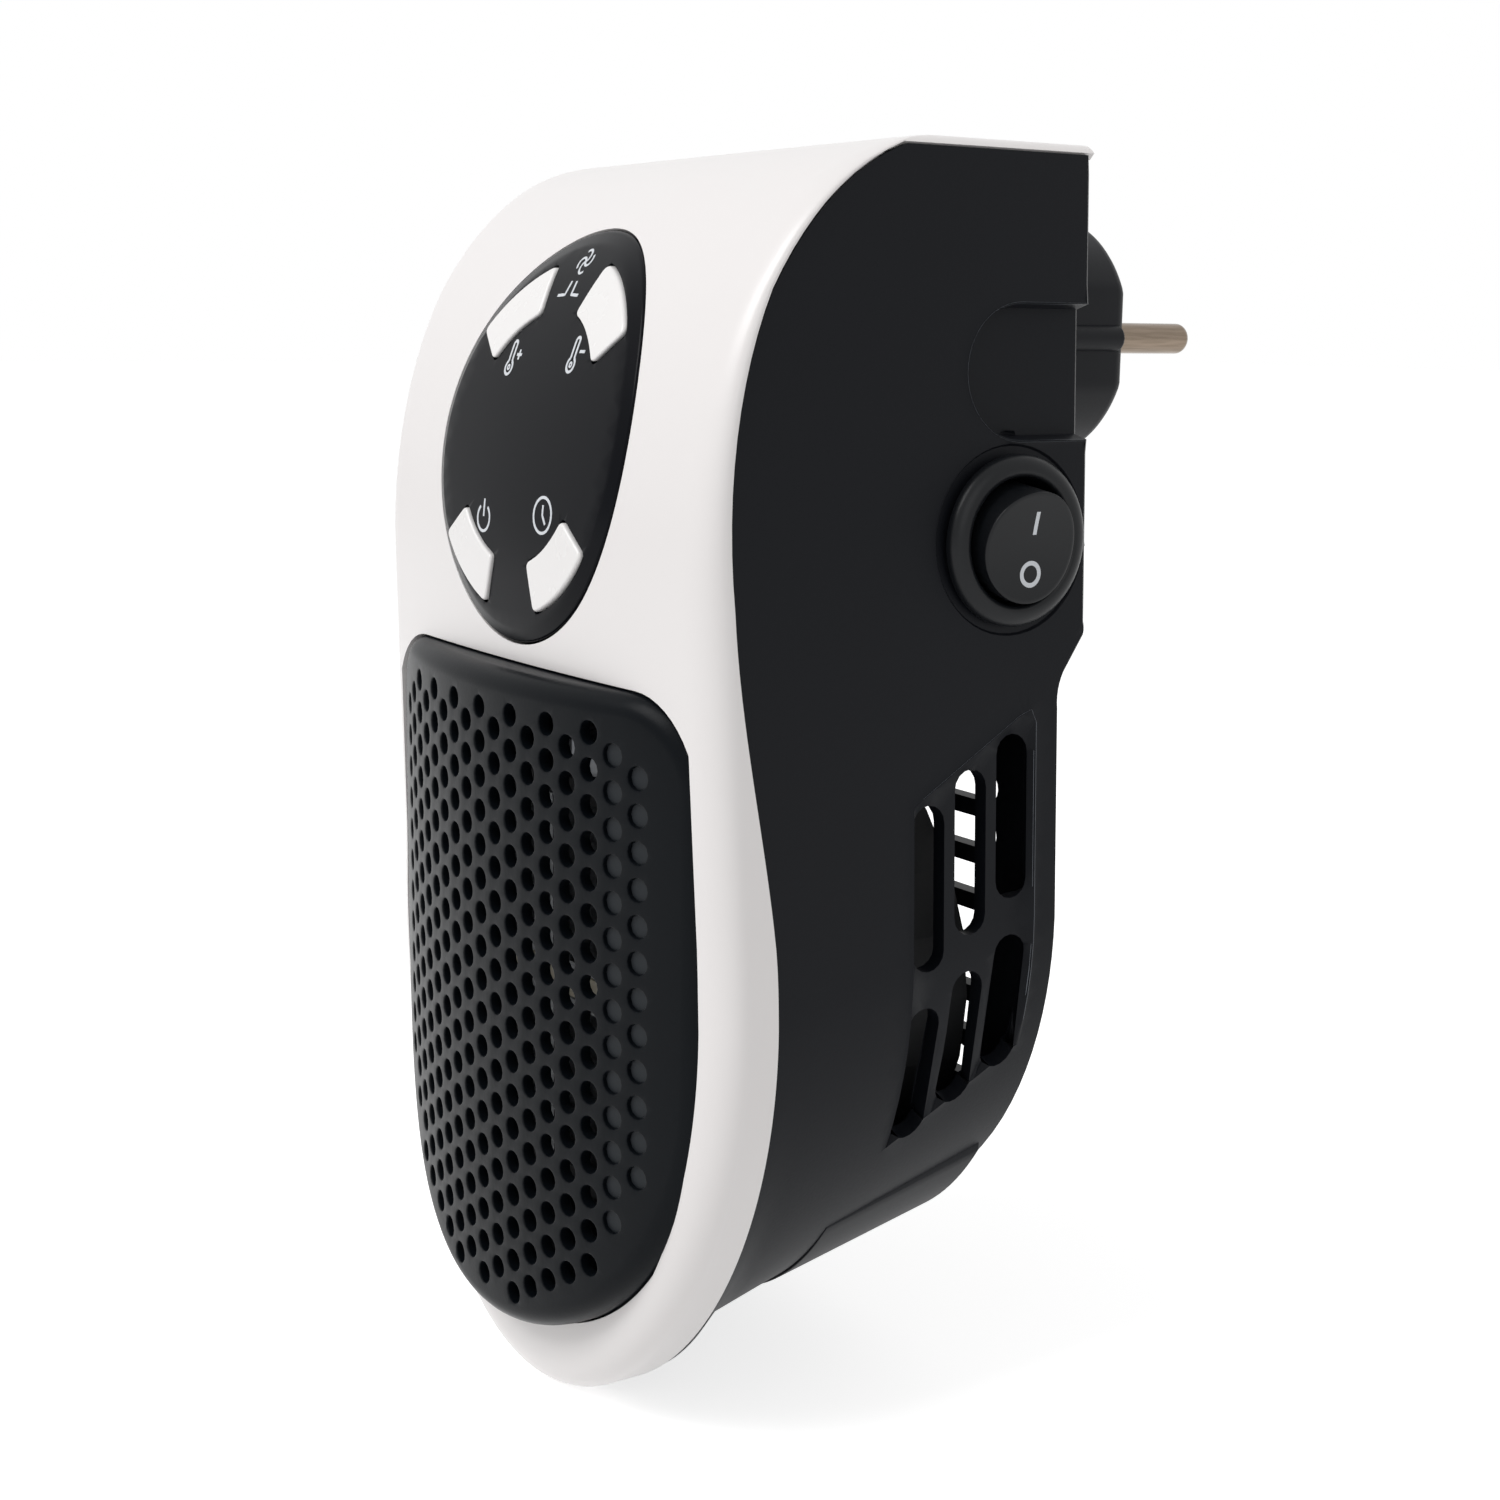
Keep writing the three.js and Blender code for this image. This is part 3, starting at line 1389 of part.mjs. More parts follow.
function buildHeater() {
  const heater = new THREE.Group();
  const add = (name, body, finish) => heater.add(piece(name, body, finish));

  add('plug_body', plugBody(), blackAbs);
  add('plug_pin_left', plugPin(-1), nickel);
  add('plug_pin_right', plugPin(1), nickel);
  add('plug_retainer', plugRetainer(), nylon);
  add('slip_ring_outer', slipRing(outerRingRadius), brass);
  add('slip_ring_inner', slipRing(innerRingRadius), brass);

  add('front_shell', frontShell(), whiteAbs);
  add('front_grille', frontGrille(), slateAbs);
  add('control_panel', controlPanel(), pianoBlack);
  add('rear_case', rearCase(), blackAbs);
  add('rear_foot', rearFoot(), blackAbs);
  screwPlaces.forEach((place) => add(place.name, caseScrew(place), steel));

  add('contact_carrier', contactCarrier(), nylon);
  add('contact_spring_outer', contactSpring(outerRingRadius, 1), brass);
  add('contact_spring_inner', contactSpring(innerRingRadius, -1), brass);

  add('switch_housing', rockerHousing(), blackAbs);
  add('switch_rocker', rocker(), blackAbs);
  add('switch_terminal_upper', switchTerminal(1), brass);
  add('switch_terminal_lower', switchTerminal(-1), brass);

  buttonNames.forEach((name, i) => add(name, pushButton(i), whiteAbs));
  buttonNames.forEach((name, i) => add(`${name}_switch`, tactSwitch(i), blackAbs));
  add('display_board', displayBoard(), boardGreen);
  add('led_display', ledDisplay(), pianoBlack);

  add('heater_frame', heaterFrame(), nylon);
  add('fin_pack_upper', finPack(1), aluminium);
  add('fin_pack_lower', finPack(-1), aluminium);
  add('heating_bar', heatingBar(), steel);
  add('thermal_cutout', thermalCutout(), steel);

  add('fan_duct', fanDuct(), blackAbs);
  add('fan_motor', fanMotor(), steel);
  add('motor_shaft', motorShaft(), steel);
  add('fan_impeller', fanImpeller(), blackAbs);

  const boardMiddle = (boardBottom + boardTop) / 2;
  const side = boardHalfWidth / 2;
  add('main_board', mainBoard(), boardGreen);
  add('relay', onBoard(side, boardMiddle, relayWidth, relayHeight, relayDepth), relayBlue);
  add('film_capacitor', onBoard(-side, boardMiddle, filmWidth, filmHeight, filmDepth), filmYellow);
  const blockHeightAt = boardBottom + blockHeight / 2 + gap;
  add('terminal_block', onBoard(0, blockHeightAt, blockWidth, blockHeight, blockDepth), nylon);
  const boardFront = boardDepth - gap;
  const canHeightAt = boardMiddle - filmHeight / 2 - canRadius - gap;
  const can = rodAlongDepth(canRadius, boardFront - canLength, boardFront, -side, canHeightAt);
  add('filter_capacitor', can, steel);
  const screwNames = ['board_screw_lower_left', 'board_screw_upper_left', 'board_screw_upper_right'];
  screwNames.forEach((name, i) => add(name, boardScrew(boardPosts[i]), steel));

  heater.position.set(0, -plugFaceDepth, -plugHeight);
  return heater;
}

const fanHeater = new THREE.Group();
fanHeater.add(buildHeater());

export default fanHeater;
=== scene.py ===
"""Looks of the plug-in fan heater: a white moulded front over a black rear case, a domed grille,
an oval panel with four buttons, a round rocker switch and a plug that turns in the back.

Shapes are worked out in millimetres, with x to the right, depth counted back from the grille's
face and height counted from the grille's middle. drawn_to_frame moves them to the CAD's frame.
"""

import math

import bmesh
import bpy
import numpy as np
from mathutils import Matrix, Vector
from mathutils.geometry import delaunay_2d_cdt


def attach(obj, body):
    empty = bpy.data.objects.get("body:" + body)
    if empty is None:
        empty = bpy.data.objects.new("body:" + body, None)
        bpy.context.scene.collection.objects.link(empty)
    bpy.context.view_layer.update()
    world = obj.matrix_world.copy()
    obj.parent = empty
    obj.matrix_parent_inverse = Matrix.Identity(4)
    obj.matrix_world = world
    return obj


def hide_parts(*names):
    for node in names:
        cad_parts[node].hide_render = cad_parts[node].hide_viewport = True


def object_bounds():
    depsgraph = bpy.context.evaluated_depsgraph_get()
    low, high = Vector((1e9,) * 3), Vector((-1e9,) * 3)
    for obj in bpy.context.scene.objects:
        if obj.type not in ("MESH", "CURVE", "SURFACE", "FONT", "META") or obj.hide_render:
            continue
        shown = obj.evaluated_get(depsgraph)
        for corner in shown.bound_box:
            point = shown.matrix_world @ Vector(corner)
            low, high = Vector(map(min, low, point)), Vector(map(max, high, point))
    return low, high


bl_info = {
    "name": "Plug-in fan heater",
    "version": (1, 0, 0),
    "blender": (4, 5, 0),
    "location": "3D View > Sidebar > Fan heater",
    "description": "Builds the looks of a plug-in fan heater round its CAD frame",
    "category": "Object",
}

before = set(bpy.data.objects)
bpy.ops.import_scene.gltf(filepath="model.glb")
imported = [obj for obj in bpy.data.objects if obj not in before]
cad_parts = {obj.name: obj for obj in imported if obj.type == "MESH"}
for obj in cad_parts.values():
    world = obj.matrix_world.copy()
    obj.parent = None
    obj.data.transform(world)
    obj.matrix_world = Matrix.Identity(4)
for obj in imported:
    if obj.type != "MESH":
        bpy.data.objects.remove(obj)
cad_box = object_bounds()

# Millimetres to metres, and the plug's end face in the drawing's own millimetres
MM = 0.001
ORIGIN = np.array([0.0, 104.0, 94.5])

# Housing, as in the CAD
HALF_WIDTH = 49.5
TOP = 120.5
BOTTOM = -60.0
TOP_HALF_WIDTH = 45.5
ARC_CENTRE = 5.0
CORNER = 3.6
SMALL_CORNER = 1.0
PLATE_STEP = 0.004
WALL = 2.4
TOP_PLATE = 1.2
GAP = 0.3
FACE_DEPTH = 6.0
FACE_BOW = 3.9
FACE_BOW_TOP = 100.5
FACE_BOW_BOTTOM = 15.0
FACE_BOW_LEFT = 0.12
CROWN_DEPTH = 38.5
CROWN_START = TOP * 0.5
EDGE_ROUND = 5.0
EDGE_DEPTH = 3.8
EDGE_DEPTH_TOP = 1.6
PARTING_STRIP = 4.7
PARTING_STRIP_TOP = 0.3
PARTING_STRIP_BOTTOM = 8.0

# Black case
CASE_INSET = 0.5
BACK_DEPTH = 71.5
LOWER_BACK_DEPTH = 65.7
BACK_ARC_CENTRE = 14.0
BACK_BOTTOM = -41.0
LIP_DEPTH = 17.5
LIP_START = 1.3
LIP_SLOPE = 4.0
LIP_RISE = 4.0
BACK_CHAMFER = 1.4
CHAMFER_DEPTH = BACK_DEPTH - BACK_CHAMFER
STEP_TOP = 54.5
STEP_BOTTOM = 46.5
STEP_ROUND_LOW = 8.5
STEP_ROUND_HIGH = 3.0
CASE_TOP = TOP - TOP_PLATE - GAP
CASE_CORNER_HEIGHT = CASE_TOP - SMALL_CORNER
WING_ANGLE = math.radians(45)

# Foot under the case
FOOT_FRONT = 36.0
FOOT_BACK = LOWER_BACK_DEPTH - 2.0
FOOT_ANGLE = math.radians(48)
FOOT_EDGE = 0.6
FOOT_DROP = 2.9
FOOT_FADE = 0.6
FOOT_SUNK = 0.4

# Side vents, scoops, switch seat, back intake and screw wells
VENT_WIDTH = 5.4
VENT_PITCH = 7.2
VENT_FIRST = 44.0
VENT_TOP = 32.1
VENT_UPPER = 23.2
VENT_LOWER = 20.0
VENT_ROW_GAP = 5.2
VENT_CLIMB = 4.3
VENT_HEAD = 0.24
VENT_TAIL = 0.96
VENT_SLANT = 1.2
VENT_SINK = 1.0
VENT_EDGE = 0.6
VENT_BEAD = 0.5
VENT_BEAD_RISE = 0.18
SCOOP_RADIUS = 9.2
SCOOP_HEIGHT = 90.0
SCOOP_FRONT = 49.5
SCOOP_SINK = 2.2
SCOOP_EDGE = 0.7
SCOOP_BEAD = 0.55
SCOOP_BEAD_RISE = 0.2
SCOOP_DEPTH = SCOOP_FRONT + SCOOP_RADIUS
SIDE_CLEAR = 2.6
# Painted highlight strips along the case's edges: their width, and the stretch of the vent panel's
# outline they follow
HIGHLIGHT_STRIP_WIDTH = 0.26
VENT_HIGHLIGHT_SPAN = slice(13, 60)
SWITCH_DEPTH = 57.2
SWITCH_HEIGHT = 67.5
SWITCH_BORE = 8.7
SWITCH_HOLE = 10.05
SWITCH_SEAT = 13.0
SWITCH_SEAT_SINK = 0.35
SWITCH_SEAT_EDGE = 0.3
INTAKE_TOP = 33.0
INTAKE_PITCH = 7.0
INTAKE_HEIGHT = 4.5
INTAKE_HALF_WIDTH = 38.5
INTAKE_RIB = 5.0
INTAKE_ROWS = 8
WELLS = [(side * x, z) for x, z in ((37.8, 106.0), (22.5, 59.1)) for side in (-1, 1)]
WELL_RADIUS = 3.0
WELL_SEAT = 40.0
WELL_SHANK = 1.8
WELL_WALL = 1.2
WELL_NOSE = 4.0
WELL_CLEAR = 0.02
WELL_OVERLAP = 0.2

# Grille
GRILLE_HALF_WIDTH = 44.5
GRILLE_TOP = 48.2
GRILLE_BOTTOM = -48.5
GRILLE_ARC = -4.0
GRILLE_CORNER = 13.0
GRILLE_SHOULDER = 3.0
GRILLE_THICKNESS = 2.0
GRILLE_SKIRT = 5.0
GRILLE_CURVE = 111.25
COLUMN_PITCH = 4.333
ROW_PITCH = 4.9974
MIDDLE_ROW = 9.5
HOLE_RADIUS = 1.6
HOLE_FLOOR = 0.7
HOLE_FLOOR_BACK = 1.7
HOLE_FLOOR_SHARE = 1.08
BLIND_COLUMNS = 2
TOP_ROWS = (2, 1.5, 1, 1.5, 1, 1.5, 1, 1.5, 1)
BOTTOM_ROWS = (13, 14.5, 16, 16.5, 17, 17.5, 18, 17.5, 18)

# Oval panel and its buttons
PANEL_HEIGHT = 80.0
PANEL_HALF_WIDTH = 26.7
PANEL_HALF_HEIGHT = 28.7
PANEL_WALL = 1.6
PANEL_PROUD = 0.8
PANEL_BEVEL = 2.3
PANEL_CONE = 0.6
PANEL_RIM = 0.345
PANEL_ROUND = 0.5
BUTTON_OUTER = 24.9
BUTTON_INNER = 17.7
BUTTON_PROUD = 0.5
BUTTON_DEPTH = 4.0
BUTTON_EDGE = 0.4
BUTTON_CORNER = 1.1
BUTTON_CLEAR = BUTTON_CORNER * 1.2
BUTTON_ANGLE = math.radians(54.5)
BUTTON_SPAN = math.radians(37)
BUTTONS = ("fan_up_button", "warmer_button", "power_button", "timer_button")

# Plug
PLUG_HEIGHT = 94.5
PLUG_FACE = 104.0
PLUG_RADIUS = 18.8
PLUG_FLAT = 17.2
PLUG_CHAMFER = 2.2
PLUG_NECK = 16.8
PLUG_NECK_END = 67.8
PLUG_SHAFT = 13.5
PLUG_SHAFT_END = 63.5
PLUG_FLAT_FALL = 0.8
PLUG_STEP = 0.6
RIB_RISE = 1.3
RIB_HALF = 2.2
RIB_ROOT = 1.0
RIB_SHORT = 1.0
RIB_ROUND = 0.8
RIB_SHRINK = 0.8
PIN_RADIUS = 2.4
PIN_LENGTH = 19.0
PIN_TIP = 1.5
PIN_ROOT = 7.7
PIN_HOLE = 8.0
PIN_X = 9.5

# Rocker switch: the flange's back and face, and the rocker's pivot, counted to the right
FLANGE_BACK = 47.495
FLANGE_FACE = 49.495
FLANGE_RADIUS = 11.7
FLANGE_CREST = 9.6
FLANGE_LIP = 0.35
FLANGE_FALL = 0.75
BARREL_RADIUS = 9.75
BARREL_END = 33.495
PIVOT_X = 46.895
ROCKER_RADIUS = 7.75
ROCKER_RISE = 5.0
ROCKER_DEPTH = 3.0
ROCKER_DISH = 0.9
ROCKER_TIP = math.radians(8)

# Printed signs: width, height over the surface and depth under it, and the rocker's own
SIGN_WIDTH = 0.42
STROKE_LIFT = 0.04
STROKE_SINK = 0.1
MARK_WIDTH = 0.62
MARK_ASIDE = 0.35

# A flat region's lattice: the step between rows, and the gap kept to its edges, as shares
LATTICE_RISE = 0.87
LATTICE_CLEAR = 0.55

# Studio, in metres: half the floor's width, the gap under the heater, the share of full white
# that the floor gives off, each lamp's place and size, and the point that the lamps are aimed at
FLOOR_REACH = 8.0
FLOOR_GAP = 0.0005
FLOOR_GLOW = 0.7
KEY_LAMP = ((-0.1, -1.0, 1.05), 0.8)
FILL_LAMP = ((1.3, -0.3, 0.5), 0.9)
LAMP_AIM = (0, -0.06, -0.06)

# Plastic's index of refraction, and the size in millimetres over which its colour drifts
PLASTIC_IOR = 1.53
DRIFT_SIZE = 30.0

SIDES = ((-1, "left"), (1, "right"))
THIN_SKIN = {"weighted": False, "sharp": 30}

# CAD nodes that stay, by finish
KEPT_NODES = {
    "inner": "plug_retainer heater_frame fan_duct fan_impeller terminal_block filter_capacitor"
    " led_display",
    "cream": "contact_carrier fan_up_button_switch warmer_button_switch power_button_switch"
    " timer_button_switch heating_bar",
    "brass": "slip_ring_outer slip_ring_inner contact_spring_outer contact_spring_inner"
    " switch_terminal_upper switch_terminal_lower",
    "steel": "case_screw_upper_left case_screw_upper_right case_screw_lower_left"
    " case_screw_lower_right board_screw_lower_left board_screw_upper_left"
    " board_screw_upper_right motor_shaft fan_motor thermal_cutout",
    "aluminium": "fin_pack_upper fin_pack_lower",
    "board": "display_board main_board",
    "blue": "relay",
    "yellow": "film_capacitor",
}


def srgb(code):
    """Turns an sRGB hex colour into linear red, green, blue and alpha."""
    parts = np.array([int(code[i : i + 2], 16) for i in (1, 3, 5)]) / 255
    low = parts / 12.92
    high = ((parts + 0.055) / 1.055) ** 2.4
    return (*np.where(parts <= 0.04045, low, high), 1.0)


def add_node(tree, kind, settings=None, links=None):
    """Adds one node, sets its properties and input values, and links its inputs. An input goes
    by its name or its number."""
    node = tree.nodes.new(kind)
    for key, value in (settings or {}).items():
        if isinstance(key, str) and hasattr(node, key):
            setattr(node, key, value)
        else:
            node.inputs[key].default_value = value
    for key, source in (links or {}).items():
        tree.links.new(source, node.inputs[key])
    return node


def columns(*values):
    """Coordinates side by side, one row for each point. A single number holds for every row."""
    return np.stack(np.broadcast_arrays(*values), 1)


def whole_turn(steps):
    """Even angles round a whole turn."""
    return np.linspace(0, 2 * math.pi, steps, endpoint=False)


def quarter_turn(steps):
    """Pairs that follow a quarter turn round an edge: how far in from the rim and how far back
    from the face, as shares of the edge's size."""
    turn = np.linspace(0, math.pi / 2, steps)
    return list(zip(1 - np.sin(turn), 1 - np.cos(turn)))


def ellipse(turn, a, b, centre=(0, 0)):
    """Points of an ellipse with half axes a and b at the given angles."""
    return columns(a * np.cos(turn), b * np.sin(turn)) + centre


def ease_at(height, low, high):
    """Share of the way from low to high, held between 0 and 1."""
    return np.clip((height - low) / (high - low), 0, 1)


def face_at(x, z):
    """Depth of the white front: its base depth, plus a bow that grows with the square of x and
    fades towards the top, plus a quarter ellipse that bends back over the crown."""
    rise = np.maximum(0, z - CROWN_START) / (TOP - CROWN_START)
    bend = CROWN_DEPTH * (1 - np.sqrt(np.maximum(0, 1 - rise * rise)))
    left = 1 - (1 - FACE_BOW_LEFT) * ease_at(z, FACE_BOW_BOTTOM, FACE_BOW_TOP)
    return FACE_DEPTH + FACE_BOW * left * (x / HALF_WIDTH) ** 2 + bend


def edge_depth_at(z):
    """How far back the front's rounded edge reaches at a height."""
    return EDGE_DEPTH + (EDGE_DEPTH_TOP - EDGE_DEPTH) * ease_at(z, CROWN_START, FACE_BOW_TOP)


def outline_at(z):
    """Half width of the housing's outline: full above the arc, an ellipse below it."""
    share = np.clip((ARC_CENTRE - z) / (ARC_CENTRE - BOTTOM), 0, 1)
    return HALF_WIDTH * np.sqrt(1 - share * share)


def parting_at(z):
    """Depth of the line between the white front and the black case at a height."""
    ease = ease_at(z, PARTING_STRIP_BOTTOM, CROWN_START)
    ease = ease * ease * (3 - 2 * ease)
    strip = PARTING_STRIP + (PARTING_STRIP_TOP - PARTING_STRIP) * ease
    return face_at(outline_at(z), z) + edge_depth_at(z) + strip


def grille_arc_at(x):
    """Depth of the grille's face: an upright circular arc across the width."""
    return GRILLE_CURVE - np.sqrt(GRILLE_CURVE**2 - x * x)


def housing_outline(inset):
    """Front-view outline drawn in by an inset: half an ellipse below, sides that lean in, round
    corners and a straight top. The loop runs from the lowest point up the right side."""
    width = HALF_WIDTH - inset
    top_width = TOP_HALF_WIDTH - inset
    radius = max(CORNER - inset, SMALL_CORNER)
    crown = TOP - inset
    drop = ARC_CENTRE - BOTTOM - inset
    corner_height = crown - radius
    turn = np.linspace(0, math.pi / 2, 48, endpoint=False)
    arc = columns(width * np.sin(turn), ARC_CENTRE - drop * np.cos(turn))
    rise = np.sin(np.linspace(0, math.pi / 2, 24, endpoint=False))
    lower = np.linspace(ARC_CENTRE, CROWN_START, 20, endpoint=False)
    heights = np.append(lower, CROWN_START + (corner_height - CROWN_START) * rise)
    lean = (heights - ARC_CENTRE) / (corner_height - ARC_CENTRE)
    side = columns(width + (top_width - width) * lean, heights)
    split = math.asin((CORNER - TOP_PLATE) / CORNER)
    bend = [0, split / 2, split - PLATE_STEP, split + PLATE_STEP]
    bend = np.append(bend, np.linspace(split, math.pi / 2, 7)[1:])
    corner = ellipse(bend, radius, radius, (top_width - radius, corner_height))
    right = np.concatenate([arc, side, corner])
    top = columns(np.linspace(1, -1, 25)[1:-1] * (top_width - radius), crown)
    return np.concatenate([right, top, right[:0:-1] * (-1, 1)])


def grille_outline(inset):
    """Front-view outline of the grille: half a circle below, straight sides, two round corners."""
    radius = GRILLE_HALF_WIDTH - inset
    drop = GRILLE_ARC - GRILLE_BOTTOM - inset
    corner = GRILLE_CORNER - inset
    height = GRILLE_TOP - inset - corner
    arc = ellipse(np.linspace(math.pi, 2 * math.pi, 73), radius, drop, (0, GRILLE_ARC))
    side = columns(radius, np.linspace(GRILLE_ARC, height, 19)[1:-1])
    bend = np.linspace(0, math.pi / 2, 13)
    right = ellipse(bend, corner, corner, (radius - corner, height))
    top = columns(np.linspace(1, -1, 27)[1:-1] * (radius - corner), height + corner)
    mirrored = (right[::-1] * (-1, 1), side[::-1] * (-1, 1))
    return np.concatenate([arc, side, right, top, *mirrored])


def oval_outline(grow):
    """The panel's ellipse, grown outwards."""
    half_axes = PANEL_HALF_WIDTH + grow, PANEL_HALF_HEIGHT + grow
    return ellipse(whole_turn(120), *half_axes, (0, PANEL_HEIGHT))


def circle(a, b, radius, sides):
    """A round loop about (a, b)."""
    return ellipse(whole_turn(sides), radius, radius, (a, b))


def slot_outline(a, b, half_a, half_b):
    """A slot with round ends: two half circles at the ends of its longer side."""
    radius = min(half_a, half_b)
    turn = np.linspace(0, math.pi, 9)
    if half_b > half_a:
        first = ellipse(turn, radius, radius, (0, half_b - radius))
    else:
        first = columns(half_a - radius + radius * np.sin(turn), -radius * np.cos(turn))
    return np.concatenate([first, -first]) + (a, b)


def button_outline(quadrant, grow):
    """A button: the part of a ring between two radii and two angles. Each corner is a bend whose
    shares of the two legs are the squares of the way to it and from it."""
    right = 1 if quadrant in (0, 3) else -1
    up = 1 if quadrant < 2 else -1

    def arc(radius, steps):
        half = BUTTON_SPAN / 2 + grow / radius
        turn = BUTTON_ANGLE + np.linspace(-half, half, steps)
        return ellipse(turn, right * radius, up * radius, (0, PANEL_HEIGHT))

    def unit(step):
        return step / np.linalg.norm(step)

    outer = arc(BUTTON_OUTER + grow, 19)
    inner = arc(BUTTON_INNER - grow, 15)[::-1]
    share = np.linspace(0, 1, 6)[:, None]
    loop = []
    for before, after in ((outer, inner), (inner, outer)):
        corner, following = before[-1], after[0]
        ahead = unit(following - corner)
        behind, onward = unit(before[-2] - corner), unit(after[1] - following)
        bend = corner + BUTTON_CORNER * (behind * (1 - share) ** 2 + ahead * share**2)
        into = following + BUTTON_CORNER * (-ahead * (1 - share) ** 2 + onward * share**2)
        leg = np.linspace(corner + ahead * BUTTON_CORNER, following - ahead * BUTTON_CORNER, 5)
        ends = np.linalg.norm(before - before[[0, -1]][:, None], axis=2)
        loop += [before[ends.min(0) > BUTTON_CLEAR], bend, leg[1:-1], into]
    return np.concatenate(loop)


def inside(points, loop):
    """Which flat points lie inside a closed loop, by counting the edges crossed to the right."""
    a, b = points[:, :1], points[:, 1:]
    start, end = loop, np.roll(loop, -1, 0)
    spans = (start[:, 1] > b) != (end[:, 1] > b)
    rise = end[:, 1] - start[:, 1]
    slope = (end[:, 0] - start[:, 0]) / np.where(rise == 0, 1, rise)
    crossing = start[:, 0] + (b - start[:, 1]) * slope
    return (spans & (a < crossing)).sum(1) % 2 == 1


def far_from(points, marks, distance):
    """Which flat points keep a distance from every mark."""
    keep = np.ones(len(points), bool)
    for chunk in np.array_split(marks, max(1, len(marks) // 400)):
        gaps = ((points[:, None] - chunk[None]) ** 2).sum(2)
        keep &= gaps.min(1) > distance**2
    return keep


def region(outer, holes, spacing, creases=()):
    """Triangles over the flat region inside one loop and outside the others. Points of an even
    lattice fill it, and closed creases are kept as edges."""
    loops = [outer, *holes, *creases]
    low, high = outer.min(0), outer.max(0)
    a, b = np.meshgrid(
        np.arange(low[0], high[0], spacing), np.arange(low[1], high[1], spacing * LATTICE_RISE)
    )
    a = a + (np.arange(a.shape[0]) % 2)[:, None] * spacing / 2
    lattice = columns(a.ravel(), b.ravel())
    lattice = lattice[inside(lattice, outer)]
    for hole in holes:
        lattice = lattice[~inside(lattice, hole)]
    lattice = lattice[far_from(lattice, np.concatenate(loops), spacing * LATTICE_CLEAR)]
    edges = []
    count = 0
    for loop in loops:
        edges += [(count + i, count + (i + 1) % len(loop)) for i in range(len(loop))]
        count += len(loop)
    flat = [Vector(point) for point in np.concatenate([*loops, lattice])]
    found = delaunay_2d_cdt(flat, edges, [], 0, 1e-5, True)
    points, triangles = np.array([tuple(p) for p in found[0]]), np.array(found[2])
    middles = points[triangles].mean(1)
    keep = inside(middles, outer)
    for hole in holes:
        near = np.abs(middles - hole.mean(0)).max(1) < np.ptp(hole, 0).max()
        keep[near] &= ~inside(middles[near], hole)
    return points, triangles[keep]


def filled(outer, holes, spacing, place, creases=()):
    """The triangles of a flat region, with its points set in space by place."""
    flat, triangles = region(outer, holes, spacing, creases)
    return place(flat), triangles


def grid_faces(rows, columns, closed=False):
    """Four-cornered faces of a grid of points, in row order, closed across its columns or not."""
    row = np.arange(rows - 1)[:, None] * columns
    column = np.arange(columns if closed else columns - 1)[None]
    following = (column + 1) % columns
    faces = [row + column, row + following, row + columns + following, row + columns + column]
    return np.stack([f.ravel() for f in faces], 1)


def strip_between(loops, closed=True):
    """A skin between loops of equal point counts, given as 3-D points."""
    points = np.concatenate(loops)
    return points, grid_faces(len(loops), len(loops[0]), closed)


def at_depth(flat, depth):
    """Stands front-view points up at a depth, which is a number or one value for each."""
    return columns(flat[:, 0], depth, flat[:, 1])


def on_face(flat, drop=0):
    """Stands front-view points on the white front's face, or a drop behind it."""
    return at_depth(flat, face_at(*flat.T) + drop)


def capped(loops):
    """A closed skin: loops joined in turn, with a many-sided face on the first and the last."""
    points, faces = strip_between(loops)
    count = len(loops[0])
    end = len(points) - count
    caps = [list(range(count))[::-1], [end + i for i in range(count)]]
    return points, [*faces.tolist(), *caps]


def on_dome(flat, drop=0):
    """Stands front-view points on the grille's domed face, or a drop behind it."""
    return at_depth(flat, grille_arc_at(flat[:, 0]) + drop)


def turned(profile, sides, centre, axis="depth"):
    """A profile of (radius, along) points carried round an axis, closed at radius 0."""
    radius, along = np.array(profile).T
    turn = whole_turn(sides)
    a = radius[:, None] * np.cos(turn)
    b = radius[:, None] * np.sin(turn)
    c = np.broadcast_to(along[:, None], a.shape)
    order = (a, c, b) if axis == "depth" else (c, a, b)
    points = np.stack(order, 2).reshape(-1, 3) + centre
    return points, grid_faces(len(profile), sides, True)


def add_modifier(piece, name, kind, **settings):
    """Adds one modifier with its settings."""
    modifier = piece.modifiers.new(name, kind)
    for key, value in settings.items():
        setattr(modifier, key, value)


def drawn(size):
    """A setting's metres as the drawing's millimetres, to a micrometre."""
    return round(size / MM, 3)


def drawn_to_frame(points):
    """Moves drawn millimetres to metres in the CAD's frame."""
    return (points - ORIGIN) * MM


